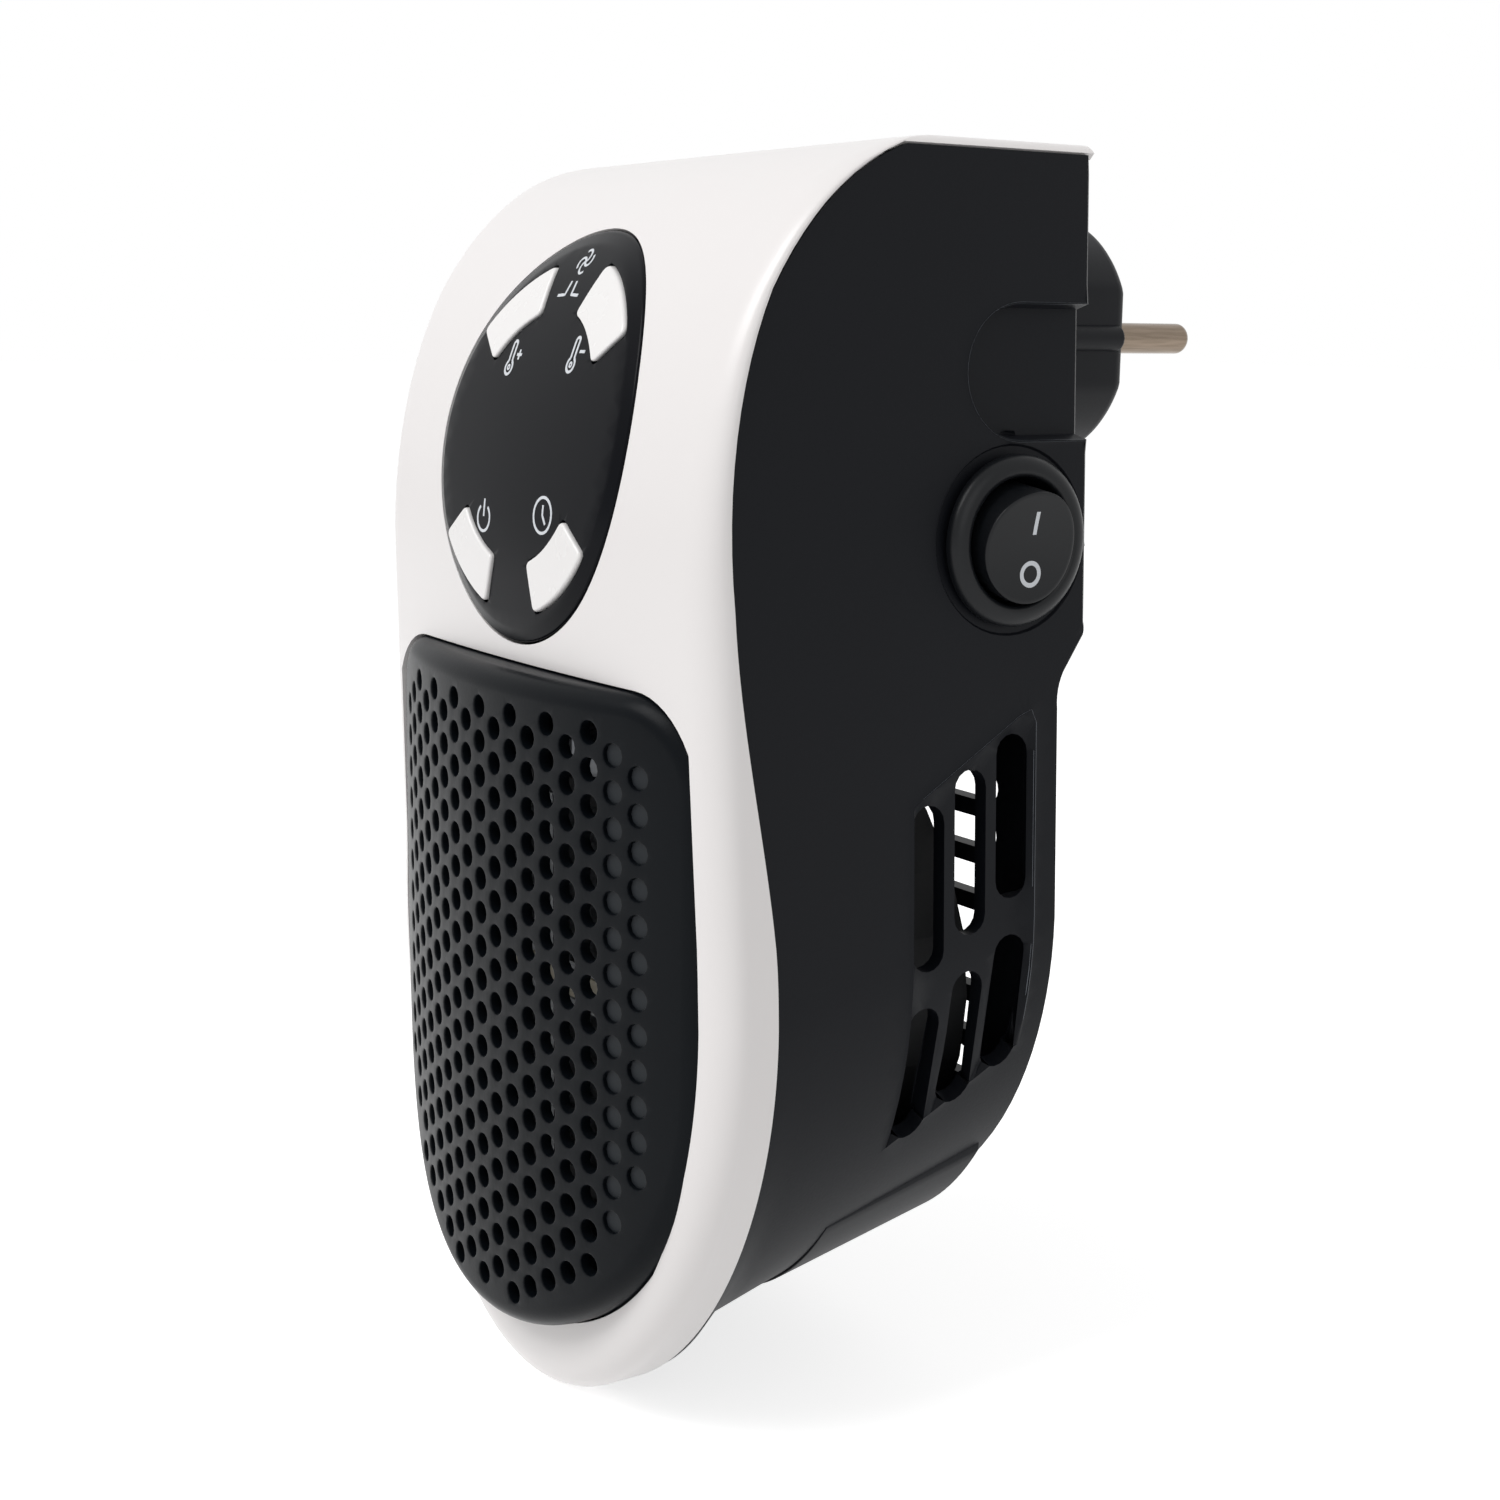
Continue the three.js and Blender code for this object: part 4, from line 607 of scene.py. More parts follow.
def make_piece(name, parts, finish, body, slot, replaced=(), wall=0, bevel=0, sharp=40,
               weighted=True):
    """Joins (points, faces) parts into one object, gives it its wall and edges, and ties it to
    its body. Doubles are merged first, then the skin is turned to face outwards."""
    points = drawn_to_frame(np.concatenate([p for p, _ in parts]))
    faces = []
    count = 0
    for part_points, part_faces in parts:
        faces += [[count + i for i in face] for face in part_faces]
        count += len(part_points)
    mesh = bpy.data.meshes.new(name)
    mesh.from_pydata(points.tolist(), [], faces)
    skin = bmesh.new()
    skin.from_mesh(mesh)
    bmesh.ops.remove_doubles(skin, verts=skin.verts, dist=2e-6)
    bmesh.ops.dissolve_degenerate(skin, edges=skin.edges, dist=1e-7)
    bmesh.ops.recalc_face_normals(skin, faces=skin.faces)
    middle = sum((v.co for v in skin.verts), Vector()) / len(skin.verts)
    facing = sum(f.normal.dot(f.calc_center_median() - middle) * f.calc_area() for f in skin.faces)
    if facing < 0:
        bmesh.ops.reverse_faces(skin, faces=skin.faces)
    skin.to_mesh(mesh)
    skin.free()
    piece = place_object(name, mesh)
    if wall:
        add_modifier(piece, "wall", "SOLIDIFY", thickness=wall * MM, offset=-1,
                     use_even_offset=True, use_quality_normals=True)
    if bevel:
        add_modifier(piece, "edges", "BEVEL", width=bevel * MM, segments=2, limit_method="ANGLE",
                     angle_limit=math.radians(38), use_clamp_overlap=True,
                     miter_outer="MITER_ARC")
    bake(piece)
    piece.data.shade_smooth()
    piece.data.set_sharp_from_angle(angle=math.radians(sharp))
    if weighted:
        add_modifier(piece, "normals", "WEIGHTED_NORMAL", keep_sharp=True)
        bake(piece)
    piece.data.materials.append(finishes[finish])
    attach(piece, body)
    if replaced:
        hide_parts(*replaced)
    return piece


def textured(name, colour, shade, sizes, gloss, strength, height, drift=0):
    """A material with a fine noise of three sizes in millimetres, one along each axis. It moves
    the roughness within gloss and the surface by height. The colour turns to shade with it, or
    with a wider noise of the size drift."""
    material = bpy.data.materials.new(name)
    material.use_nodes = True
    tree = material.node_tree
    shader = tree.nodes["Principled BSDF"]
    where = add_node(tree, "ShaderNodeTexCoord").outputs["Object"]
    scale = {"Scale": [1 / (size * MM) for size in sizes]}
    scaled = add_node(tree, "ShaderNodeMapping", scale, {"Vector": where}).outputs["Vector"]
    noise = {"Scale": 1.0, "Detail": 3.0}
    fine = add_node(tree, "ShaderNodeTexNoise", noise, {"Vector": scaled}).outputs["Fac"]
    wide = fine
    if drift:
        noise = {"Scale": 1 / (drift * MM), "Detail": 2.0}
        wide = add_node(tree, "ShaderNodeTexNoise", noise, {"Vector": where}).outputs["Fac"]
    shades = {"data_type": "RGBA", 6: srgb(colour), 7: srgb(shade)}
    tint = add_node(tree, "ShaderNodeMix", shades, {0: wide})
    limits = {"To Min": gloss[0], "To Max": gloss[1]}
    rough = add_node(tree, "ShaderNodeMapRange", limits, {"Value": fine})
    relief = {"Strength": strength, "Distance": height * MM}
    bump = add_node(tree, "ShaderNodeBump", relief, {"Height": fine})
    tree.links.new(tint.outputs[2], shader.inputs["Base Color"])
    tree.links.new(rough.outputs["Result"], shader.inputs["Roughness"])
    tree.links.new(bump.outputs["Normal"], shader.inputs["Normal"])
    return material, shader.inputs


def bake(piece):
    """Turns a piece's modifiers into its mesh."""
    if not piece.modifiers:
        return
    graph = bpy.context.evaluated_depsgraph_get()
    mesh = bpy.data.meshes.new_from_object(piece.evaluated_get(graph))
    old = piece.data
    piece.modifiers.clear()
    piece.data = mesh
    bpy.data.meshes.remove(old)
    mesh.name = piece.name


def moulded(name, colour, shade, roughness, grain, height, specular=0.5):
    """Injection-moulded plastic: a colour that drifts to a second shade over 30 mm, and a grain
    of the given size and height in millimetres that roughens the gloss and bumps the surface."""
    gloss = roughness - 0.03, roughness + 0.03
    material, sockets = textured(name, colour, shade, [grain] * 3, gloss, 0.5, height, DRIFT_SIZE)
    sockets["IOR"].default_value = PLASTIC_IOR
    sockets["Specular IOR Level"].default_value = specular
    return material


def metal(name, colour, shade, roughness, across, along, axis=1):
    """Metal with lines drawn along one axis: a noise stretched along it, across and along in
    millimetres, changes the colour, the gloss and the height of the surface."""
    sizes = [across] * 3
    sizes[axis] = along
    gloss = roughness - 0.08, roughness + 0.1
    material, sockets = textured(name, colour, shade, sizes, gloss, 0.4, 0.004)
    sockets["Metallic"].default_value = 1.0
    return material


def make_finishes(colours):
    """Every finish of the heater, by name. A grain too fine to show in a picture of the whole
    object is drawn as coarse as it needs to show."""
    return {
        # White ABS, high-polish mould: an even, soft gloss with a faint waviness
        "white": moulded("white_abs_polished", colours.white, "#f0eceb", 0.3, 6.0, 0.002),
        # White ABS buttons, same resin, a touch glossier
        "button": moulded("white_abs_button", "#f6f4f3", "#f1efee", 0.27, 6.0, 0.002),
        # Black ABS, spark-eroded mould: fine dry grain, no mirror reflections
        "black": moulded("black_abs_spark_grain", colours.black, "#0e1015", 0.48, 0.5, 0.03, 0.12),
        # Painted highlight: light grey strips on the black case's edges, standing in for the light
        # they catch
        "painted_edge_highlight": moulded("black_abs_painted_highlight", "#7c828a", "#5a5f66", 0.3, 0.5, 0.005, 0.4),
        # Slate ABS grille, fine satin
        "slate": moulded("slate_abs_satin", colours.slate, "#0b0f13", 0.34, 0.6, 0.02, 0.07),
        # Blind holes' floors: the same resin, rougher, in a lighter grey that is painted light, so
        # the floors look lit
        "floor": moulded("slate_abs_painted_lit_floor", "#1e2226", "#181c20", 0.55, 0.4, 0.03, 0.2),
        # Gloss black acrylic: deep colour under a hard clear surface
        "gloss": moulded("black_acrylic_gloss", colours.panel, "#0b0d12", 0.22, 3.0, 0.004, 0.06),
        # Black nylon plug body, semi-matt moulding
        "plug": moulded("black_pa_plug_satin", "#0e0f13", "#121418", 0.42, 0.5, 0.02, 0.15),
        # Black switch plastic, slightly glossier than the case
        "switch": moulded("black_pa_switch_satin", "#0f1114", "#131518", 0.34, 0.6, 0.01, 0.2),
        # White pad print on the panel and the rocker
        "print": moulded("white_pad_print", "#dfe2e6", "#d4d8de", 0.5, 0.3, 0.01),
        # Glass-filled black plastic of the parts inside, dull and even
        "inner": moulded("black_pbt_glass_filled", "#131416", "#191a1c", 0.6, 0.8, 0.05, 0.3),
        # Cream nylon of the contact carrier and the small switches
        "cream": moulded("cream_nylon_moulded", "#ddd6c4", "#d1c9b4", 0.45, 0.8, 0.02),
        # Blue polypropylene relay case
        "blue": moulded("blue_pp_relay_case", "#25509a", "#1f468a", 0.35, 1.5, 0.01),
        # Yellow epoxy-dipped film capacitor
        "yellow": moulded("yellow_epoxy_dip", "#cf9f2a", "#c08f22", 0.3, 1.5, 0.02),
        # Green solder mask over woven glass
        "board": moulded("green_solder_mask", "#1f5a38", "#1b5033", 0.35, 0.9, 0.02, 0.5),
        # Nickel plate over brass, drawn rod: warm grey with fine lengthwise lines
        "nickel": metal("nickel_plate_drawn", "#97887a", "#6c6052", 0.22, 0.35, 6.0),
        # Bright rolled brass of the contacts
        "brass": metal("brass_rolled", "#c9a35a", "#b08a45", 0.3, 0.3, 4.0, 0),
        # Rolled aluminium of the heater fins
        "aluminium": metal("aluminium_rolled", "#b9bcbf", "#a3a6a9", 0.38, 0.4, 5.0, 2),
        # Zinc-plated steel of screws, shaft and motor can
        "steel": metal("steel_zinc_plated", "#a6a9ad", "#8f9296", 0.34, 0.5, 3.0, 2),
    }


def front_shell_parts():
    """White front. Its face is the outline's inside, less two openings, at the depth face_at
    gives. Rings then follow a quarter turn round the edge and run back to the parting line,
    or on the straight top to the back of the case."""
    openings = [grille_outline(-GAP), oval_outline(GAP)]
    face = filled(housing_outline(EDGE_ROUND), openings, 3.0, on_face)
    rings = []
    for inset, back in quarter_turn(10):
        ring = housing_outline(EDGE_ROUND * inset)
        rings.append(on_face(ring, edge_depth_at(ring[:, 1]) * back))
    outer = housing_outline(0)
    z = outer[:, 1]
    start = face_at(*outer.T) + edge_depth_at(z)
    end = np.where(z < TOP - TOP_PLATE, parting_at(z), BACK_DEPTH)
    rings += [at_depth(outer, start + (end - start) * share) for share in (0.2, 0.6, 1.0)]
    return [face, strip_between(rings)]


def hole_places():
    """Hole centres on a triangular lattice, and whether each is blind. A hole's row counts down
    from the top, and the first and last rows of each column follow the grille's outline."""
    half = len(TOP_ROWS) - 1
    places, blind = [], []
    for column in range(-half, half + 1):
        edge = half - abs(column)
        rows = np.arange(TOP_ROWS[edge], BOTTOM_ROWS[edge] + 0.1)
        places.append(columns(column * COLUMN_PITCH, (MIDDLE_ROW - rows) * ROW_PITCH))
        blind.append(np.full(len(rows), edge < BLIND_COLUMNS))
    return np.concatenate(places), np.concatenate(blind)


def grille_parts(radius):
    """Domed grille: the pierced inside of its outline on an upright arc, a quarter turn round
    its shoulder, and a skirt that enters the front's opening. The holes have the given radius."""
    holes = [circle(x, z, radius, 14) for x, z in hole_places()[0]]
    size = GRILLE_SHOULDER
    face = filled(grille_outline(size), holes, 2.2, on_dome)
    rings = [on_dome(grille_outline(size * a), size * b) for a, b in quarter_turn(8)]
    rings.append(on_face(grille_outline(0), GRILLE_SKIRT))
    return [face, strip_between(rings)]


def blind_floor_parts(radius, sunk):
    """Small discs that close the blind holes of the given radius, sunk below the grille's face."""
    places, blind = hole_places()
    rings = [circle(x, z, radius * HOLE_FLOOR_SHARE, 10) for x, z in places[blind]]
    return [capped([on_dome(ring, sunk), on_dome(ring, HOLE_FLOOR_BACK)]) for ring in rings]


def panel_parts():
    """Oval panel: its flat inside less the four buttons' places, at the front's own depth less
    what it stands proud, with a cone that falls towards its edge and a small rounded rim."""
    holes = [button_outline(quadrant, GAP) for quadrant in range(4)]
    face = filled(oval_outline(-PANEL_BEVEL), holes, 2.5, on_panel)
    cone, rim = PANEL_BEVEL - PANEL_RIM, PANEL_RIM
    places = [(rim + cone * (1 - share), PANEL_CONE * share) for share in np.linspace(0, 1, 4)]
    places += [(rim * a, PANEL_CONE + PANEL_ROUND * b) for a, b in quarter_turn(5)[1:]]
    rings = [on_panel(oval_outline(-inset), -drop) for inset, drop in places]
    return [face, strip_between(rings)]


def left_of(path, closed):
    """Unit steps to the left of a flat path, worked out from each point's two neighbours."""
    ahead = np.roll(path, -1, 0) - np.roll(path, 1, 0) if closed else np.gradient(path, axis=0)
    ahead = ahead / np.linalg.norm(ahead, axis=1)[:, None]
    return columns(-ahead[:, 1], ahead[:, 0])


def stroke(path, width, place, closed=False):
    """A printed line: a thin bar of the given width carried along a flat path, set on a surface
    by place, which turns flat points and a height above the surface into 3-D points."""
    path = np.array(path, float)
    aside = left_of(path, closed) * width / 2
    top, foot = STROKE_LIFT, -STROKE_SINK
    sides = ((aside, top), (-aside, top), (-aside, foot), (aside, foot))
    loops = np.stack([place(path + step, lift) for step, lift in sides], 1)
    return strip_between([*loops, loops[0]]) if closed else capped(loops)


def arc_path(a, b, radius, start, end, steps=28):
    """Points along an arc from one angle to another, in degrees."""
    return ellipse(np.radians(np.linspace(start, end, steps)), radius, radius, (a, b))


def line_path(*corners):
    """Points close together along straight lines between corners."""
    legs = [np.linspace(a, b, 6)[:-1] for a, b in zip(corners, corners[1:])]
    return np.concatenate([*legs, [corners[-1]]])


def on_panel(flat, lift=0):
    """Places flat points on the panel's face, or a lift over it."""
    return on_face(flat, -PANEL_PROUD - lift)


def icon_parts(line):
    """Printed signs of the panel, in lines of the given width: power, clock, warmer and cooler,
    fan speed and its brackets."""
    parts = []

    def draw(path, closed=False, width=line):
        parts.append(stroke(path, width, on_panel, closed))

    # Power and clock
    draw(arc_path(-8.9, 68.2, 1.9, 125, 415))
    draw(line_path((-8.9, 68.4), (-8.9, 70.9)))
    draw(arc_path(8.6, 69.8, 2.45, 0, 351, 40), True)
    draw(line_path((8.6, 71.2), (8.6, 69.8), (9.5, 68.6)))
    # Two thermometers, each with a bar, which an upright makes a cross on the left
    for x, z in ((-9.4, 90.7), (8.4, 91.4)):
        draw(arc_path(x, z - 1.2, 1.0, 120, 420, 24))
        draw(arc_path(x, z + 2.0, 0.5, 0, 180, 12))
        for wall in (x - 0.5, x + 0.5):
            draw(line_path((wall, z - 0.35), (wall, z + 2.0)))
        draw(arc_path(x, z - 1.2, 0.3, 0, 330, 12), True, 0.3)
        draw(line_path((x + 1.4, z + 0.6), (x + 2.8, z + 0.6)))
    draw(line_path((-7.3, 90.6), (-7.3, 92.0)))
    # Pinwheel of four curled blades, between two brackets
    for turn in np.arange(20, 380, 90):
        a, b = 0.85 * math.cos(math.radians(turn)), 0.85 * math.sin(math.radians(turn))
        draw(arc_path(a, 104.3 + b, 0.85, turn - 180, turn + 25, 14), False, 0.34)
    for side in (-1, 1):
        draw(line_path((side * 0.7, 101.6), (side * 0.9, 99.7), (side * 2.9, 99.6)))
    return parts


def button_parts(quadrant, proud):
    """A button's head: the outline's inside at the panel's depth less what it stands proud, a
    quarter turn round its edge, a straight wall and the same outline again at its back."""
    outline = button_outline(quadrant, 0)
    inward = left_of(outline, True) * BUTTON_EDGE
    if ((outline.mean(0) - outline) * inward).sum() < 0:
        inward = -inward
    front = -PANEL_PROUD - proud
    back = front + BUTTON_DEPTH
    edge = [on_face(outline + inward * a, front + BUTTON_EDGE * b) for a, b in quarter_turn(5)]
    flat, triangles = region(outline + inward, [], 1.6)
    back_flat, back_triangles = region(outline, [], 3.0)
    return [
        (on_face(flat, front), triangles),
        strip_between([*edge, on_face(outline, back)]),
        (on_face(back_flat, back), back_triangles[:, ::-1]),
    ]


def lower_arc_at(depth):
    """Centre and lowest height of the case's lower arc: a lip, then a steady climb to the back."""
    share = np.maximum(0, depth - LIP_DEPTH) / (LOWER_BACK_DEPTH - LIP_DEPTH)
    start = BOTTOM + LIP_RISE * ease_at(depth, LIP_DEPTH, LIP_DEPTH + LIP_SLOPE)
    centre = ARC_CENTRE + (BACK_ARC_CENTRE - ARC_CENTRE) * share
    return centre, start + (BACK_BOTTOM - start) * share


def case_side_at(depth, z):
    """Half width of the case: a lean above the arc's centre, an ellipse below it."""
    centre, bottom = lower_arc_at(depth)
    width = HALF_WIDTH - CASE_INSET
    lean = (TOP_HALF_WIDTH - HALF_WIDTH) * (z - centre) / (CASE_CORNER_HEIGHT - centre)
    share = np.clip((centre - z) / (centre - bottom - CASE_INSET), 0, 1)
    return np.where(z >= centre, width + lean, width * np.sqrt(1 - share * share))


def vent_panel_outline(inset):
    """Side-view outline of the leaning panel that the vents stand in, drawn in by an inset."""
    front = VENT_FIRST - VENT_WIDTH / 2 - VENT_EDGE + inset
    back = VENT_FIRST + 2 * VENT_PITCH + VENT_WIDTH / 2 + VENT_EDGE - inset
    slope = VENT_CLIMB / VENT_PITCH
    climb = slope * (back - front)
    top = VENT_TOP + VENT_HEAD - inset * VENT_SLANT
    bottom = VENT_TOP - VENT_UPPER - VENT_ROW_GAP - VENT_LOWER - VENT_TAIL + inset * VENT_SLANT
    bevel = VENT_WIDTH / 2 - inset / 2
    corners = [
        (front, bottom),
        (back, bottom + climb),
        (back, top + climb - bevel),
        (back - bevel * 0.3, top + climb - bevel * 0.35),
        (back - bevel, top + climb - bevel * slope),
        (front, top),
    ]
    legs = [np.linspace(a, b, 13)[:-1] for a, b in zip(corners, corners[1:] + corners[:1])]
    return np.concatenate(legs)


def scoop_outline(grow, steps):
    """D-shaped outline of a scoop: half a circle in front, and a straight end of the given
    number of steps from each of its sides to the case's back edge."""
    radius = SCOOP_RADIUS + grow
    turn = np.linspace(math.pi / 2, 3 * math.pi / 2, 25)
    bite = ellipse(turn, radius, radius, (SCOOP_DEPTH, SCOOP_HEIGHT))
    head = np.linspace((CHAMFER_DEPTH, bite[0, 1]), bite[0], steps)
    tail = np.linspace(bite[-1], (CHAMFER_DEPTH, bite[-1, 1]), steps)
    return np.concatenate([head[:-1], bite, tail[1:]])


def distance_to(points, loop):
    """Distance from flat points to the nearest edge of a closed loop."""
    start, end = loop, np.roll(loop, -1, 0)
    leg = end - start
    share = ((points[:, None] - start) * leg).sum(2) / (leg**2).sum(1)
    nearest = start + np.clip(share, 0, 1)[..., None] * leg
    return np.linalg.norm(points[:, None] - nearest, axis=2).min(1)


def sink_at(depth, z, switch=False):
    """How far the case's side is sunk: in the vent panel, the scoop, and round the switch. A bead
    stands out along the edges of the first two."""
    points = columns(depth, z)
    loop = vent_panel_outline(0)
    away = distance_to(points, loop)
    sink = np.where(inside(points, loop), VENT_SINK * np.clip(away / VENT_EDGE, 0, 1), 0)
    sink = sink - VENT_BEAD_RISE * np.clip(1 - away / VENT_BEAD, 0, 1)
    out = np.hypot(np.minimum(0, depth - SCOOP_DEPTH), z - SCOOP_HEIGHT) - SCOOP_RADIUS
    sink = sink + SCOOP_SINK * np.clip(-out / SCOOP_EDGE, 0, 1)
    sink = sink - SCOOP_BEAD_RISE * np.clip(1 - np.abs(out) / SCOOP_BEAD, 0, 1)
    if switch:
        out = np.hypot(depth - SWITCH_DEPTH, z - SWITCH_HEIGHT)
        sink = sink + SWITCH_SEAT_SINK * np.clip((SWITCH_SEAT - out) / SWITCH_SEAT_EDGE, 0, 1)
    return sink


def case_wall(side, depth, z, lift=0, switch=False):
    """Points of one side wall of the case: case_side_at less what sink_at takes away."""
    return columns(side * (case_side_at(depth, z) - sink_at(depth, z, switch) + lift), depth, z)


def highlight_strip_parts(side):
    """Painted highlights along the edges of a scoop and of a vent panel's back and top: narrow
    light grey skins laid along their outlines, standing in for the light those edges catch."""
    paths = (scoop_outline(0, 6), vent_panel_outline(0)[VENT_HIGHLIGHT_SPAN])
    return [
        stroke(path, HIGHLIGHT_STRIP_WIDTH, lambda flat, lift: case_wall(side, *flat.T, lift))
        for path in paths
    ]


def arc_stations(angle):
    """Depths along the case's underside at an angle: parting line, lip, then evenly back."""
    z = ARC_CENTRE - (ARC_CENTRE - BOTTOM - CASE_INSET) * np.cos(angle)
    first = parting_at(z + GAP) + GAP
    back = np.linspace(LIP_DEPTH + LIP_SLOPE, LOWER_BACK_DEPTH, 16)
    return np.append([first, (first + LIP_DEPTH) / 2, LIP_DEPTH, LIP_DEPTH + LIP_START], back)


def underside_point(angle, depth):
    """A point of the case's underside: an ellipse whose centre and drop change with depth."""
    centre, bottom = lower_arc_at(depth)
    z = centre - (centre - bottom - CASE_INSET) * np.cos(angle)
    return columns((HALF_WIDTH - CASE_INSET) * np.sin(angle), depth, z)


def foot_parts():
    """Foot: the underside's own curve let down by a drop that grows from the foot's front to its
    back and fades towards its two sides, closed by the same curve sunk into the case."""
    angles = np.linspace(-FOOT_ANGLE, FOOT_ANGLE, 49)
    fade = 1 - FOOT_FADE * (angles / FOOT_ANGLE) ** 4
    loops = []
    for share in np.linspace(0, 1, 9):
        skin = underside_point(angles, FOOT_FRONT + (FOOT_BACK - FOOT_FRONT) * share)
        drop = (FOOT_EDGE + (FOOT_DROP - FOOT_EDGE) * share) * fade
        below = skin - drop[:, None] * (0, 0, 1)
        loops.append(np.concatenate([below, (skin + (0, 0, FOOT_SUNK))[::-1]]))
    return [capped(loops)]


SCOOP_LOW, SCOOP_HIGH = SCOOP_HEIGHT - SCOOP_RADIUS, SCOOP_HEIGHT + SCOOP_RADIUS
SIDE_HEIGHTS = np.concatenate(
    [
        np.linspace(STEP_TOP + SIDE_CLEAR, SCOOP_LOW, 14),
        [SCOOP_LOW + SCOOP_EDGE],
        np.linspace(SCOOP_LOW + SIDE_CLEAR, SCOOP_HIGH - SIDE_CLEAR, 6),
        [SCOOP_HIGH - SCOOP_EDGE],
        np.linspace(SCOOP_HIGH, CASE_TOP, 9),
    ]
)


def step_profile():
    """Side view of the back's step from the lower back up, as (depth, height) points and their
    outward normals: a slant whose angle eases in and out over an arc at each end."""
    lean = math.atan2(BACK_DEPTH - LOWER_BACK_DEPTH, STEP_TOP - STEP_BOTTOM)
    turn = np.linspace(0, lean, 7)
    bend = columns(1 - np.cos(turn), np.sin(turn) - math.tan(lean / 2))
    low = (LOWER_BACK_DEPTH, STEP_BOTTOM) + STEP_ROUND_LOW * bend
    high = ((BACK_DEPTH, STEP_TOP) - STEP_ROUND_HIGH * bend)[::-1]
    angles = np.append(turn, turn[::-1])
    return np.concatenate([low, high]), columns(np.cos(angles), -np.sin(angles))


def wing_parts(side, switch):
    """One side wall of the case: a side-view region bounded by the underside, the back's step
    and edge, the top and the parting line, pierced by the vents, and set at case_side_at less
    what sink_at takes away."""
    low = underside_point(WING_ANGLE, arc_stations(WING_ANGLE))[:, 1:]
    rear = case_edge(side)[0][:, 1:]
    back = columns(LOWER_BACK_DEPTH, np.linspace(low[-1, 1], rear[0, 1], 24)[1:-1])
    top = columns(top_stations()[1:-1], CASE_TOP)
    rise = np.sin(np.linspace(math.pi / 2, 0, 22))
    lower = np.linspace(CROWN_START, low[0, 1], 44)[1:-1]
    heights = np.append(CROWN_START + (CASE_TOP - CROWN_START) * rise, lower)
    parting = columns(parting_at(heights + GAP) + GAP, heights)
    outer = np.concatenate([low, back, rear, top, parting])
    holes = []
    for i in range(3):
        high = VENT_TOP + VENT_CLIMB * i
        rows = ((high, VENT_UPPER), (high - VENT_UPPER - VENT_ROW_GAP, VENT_LOWER))
        for start, length in rows:
            middle = VENT_FIRST + VENT_PITCH * i, start - length / 2
            holes.append(slot_outline(*middle, VENT_WIDTH / 2, length / 2))
    creases = [vent_panel_outline(0), vent_panel_outline(-VENT_BEAD)]
    if switch:
        seat = SWITCH_DEPTH, SWITCH_HEIGHT
        holes.append(circle(*seat, SWITCH_HOLE, 40))
        creases += [circle(*seat, SWITCH_SEAT - edge, 48) for edge in (0, SWITCH_SEAT_EDGE)]
    creases += [scoop_outline(grow, 5) for grow in (SCOOP_BEAD, 0, -SCOOP_EDGE)]
    return [filled(outer, holes, 2.2, lambda flat: case_wall(side, *flat.T, 0, switch), creases)]


def top_stations():
    """Depths along the case's top, from its back edge to the parting line."""
    return np.linspace(CHAMFER_DEPTH, parting_at(CASE_TOP + GAP) + GAP, 14)


def case_edge(side):
    """The case's back edge on one side, from the step up, and the same edge drawn in over the
    chamfer, which grows from nothing along the step."""
    step, normals = step_profile()
    grown = np.linspace(0, BACK_CHAMFER, len(step))
    rear = columns(CHAMFER_DEPTH, SIDE_HEIGHTS)
    outer = case_wall(side, *np.concatenate([step - normals * grown[:, None], rear]).T)
    drawn_in = np.append(grown, np.full_like(SIDE_HEIGHTS, BACK_CHAMFER))
    back = np.concatenate([step, rear + (BACK_CHAMFER, 0)])
    back[-1, 1] -= BACK_CHAMFER
    return outer, columns(outer[:, 0] - side * drawn_in, *back.T)


def case_parts():
    """Black case: two pierced wings, an underside swept from the parting line to the back, a
    chamfer, the back above and below its slanting step, and a top."""
    parts = wing_parts(1, True) + wing_parts(-1, False)
    angles = np.linspace(-WING_ANGLE, WING_ANGLE, 49)
    underside = [underside_point(angle, arc_stations(angle)) for angle in angles]
    parts.append(strip_between(underside, False))
    # Chamfer, up one side, across the top and down the other
    (right, right_in), (left, left_in) = case_edge(1), case_edge(-1)
    across = np.linspace(1, -1, 25)
    share = across[1:-1, None]

    def joined(right, left):
        top = right[-1:] * (share + 1) / 2 + left[-1:] * (1 - share) / 2
        return np.concatenate([right, top, left[::-1]])

    rim_in = joined(right_in, left_in)
    parts.append(strip_between([joined(right, left), rim_in], False))
    # Top, hidden under the white front's own top
    run = top_stations()
    edge = case_side_at(run, CASE_TOP)
    rows = [columns(x * across, depth, CASE_TOP) for x, depth in zip(edge, run)]
    parts.append(strip_between(rows, False))
    # Back above the step, pierced by the plug's hole and the screw wells
    count = len(step_profile()[0])
    step = np.linspace(left_in[:count], right_in[:count], 25, axis=1)
    outline = np.concatenate([rim_in[count - 1 : 1 - count], step[-1, 1:-1]])[:, [0, 2]]
    holes = [circle(0, PLUG_HEIGHT, PLUG_NECK + GAP, 48)]
    holes += [circle(x, z, WELL_RADIUS, 20) for x, z in WELLS]
    parts.append(filled(outline, holes, 3.2, lambda flat: at_depth(flat, BACK_DEPTH)))
    # Slanting step
    parts.append(strip_between(step, False))
    # Back below the step, pierced by the intake
    climb = np.linspace(underside[-1][-1, 2], right[0, 2], 24)
    flank = columns(case_side_at(LOWER_BACK_DEPTH, climb), climb)
    arc = np.array([row[-1] for row in underside])[:, [0, 2]]
    ledge = step[0, -2:0:-1][:, [0, 2]]
    outline = np.concatenate([arc[:-1], flank, ledge, flank[:0:-1] * (-1, 1)])
    slots = intake_outlines()
    parts.append(filled(outline, slots, 2.6, lambda flat: at_depth(flat, LOWER_BACK_DEPTH)))
    return parts


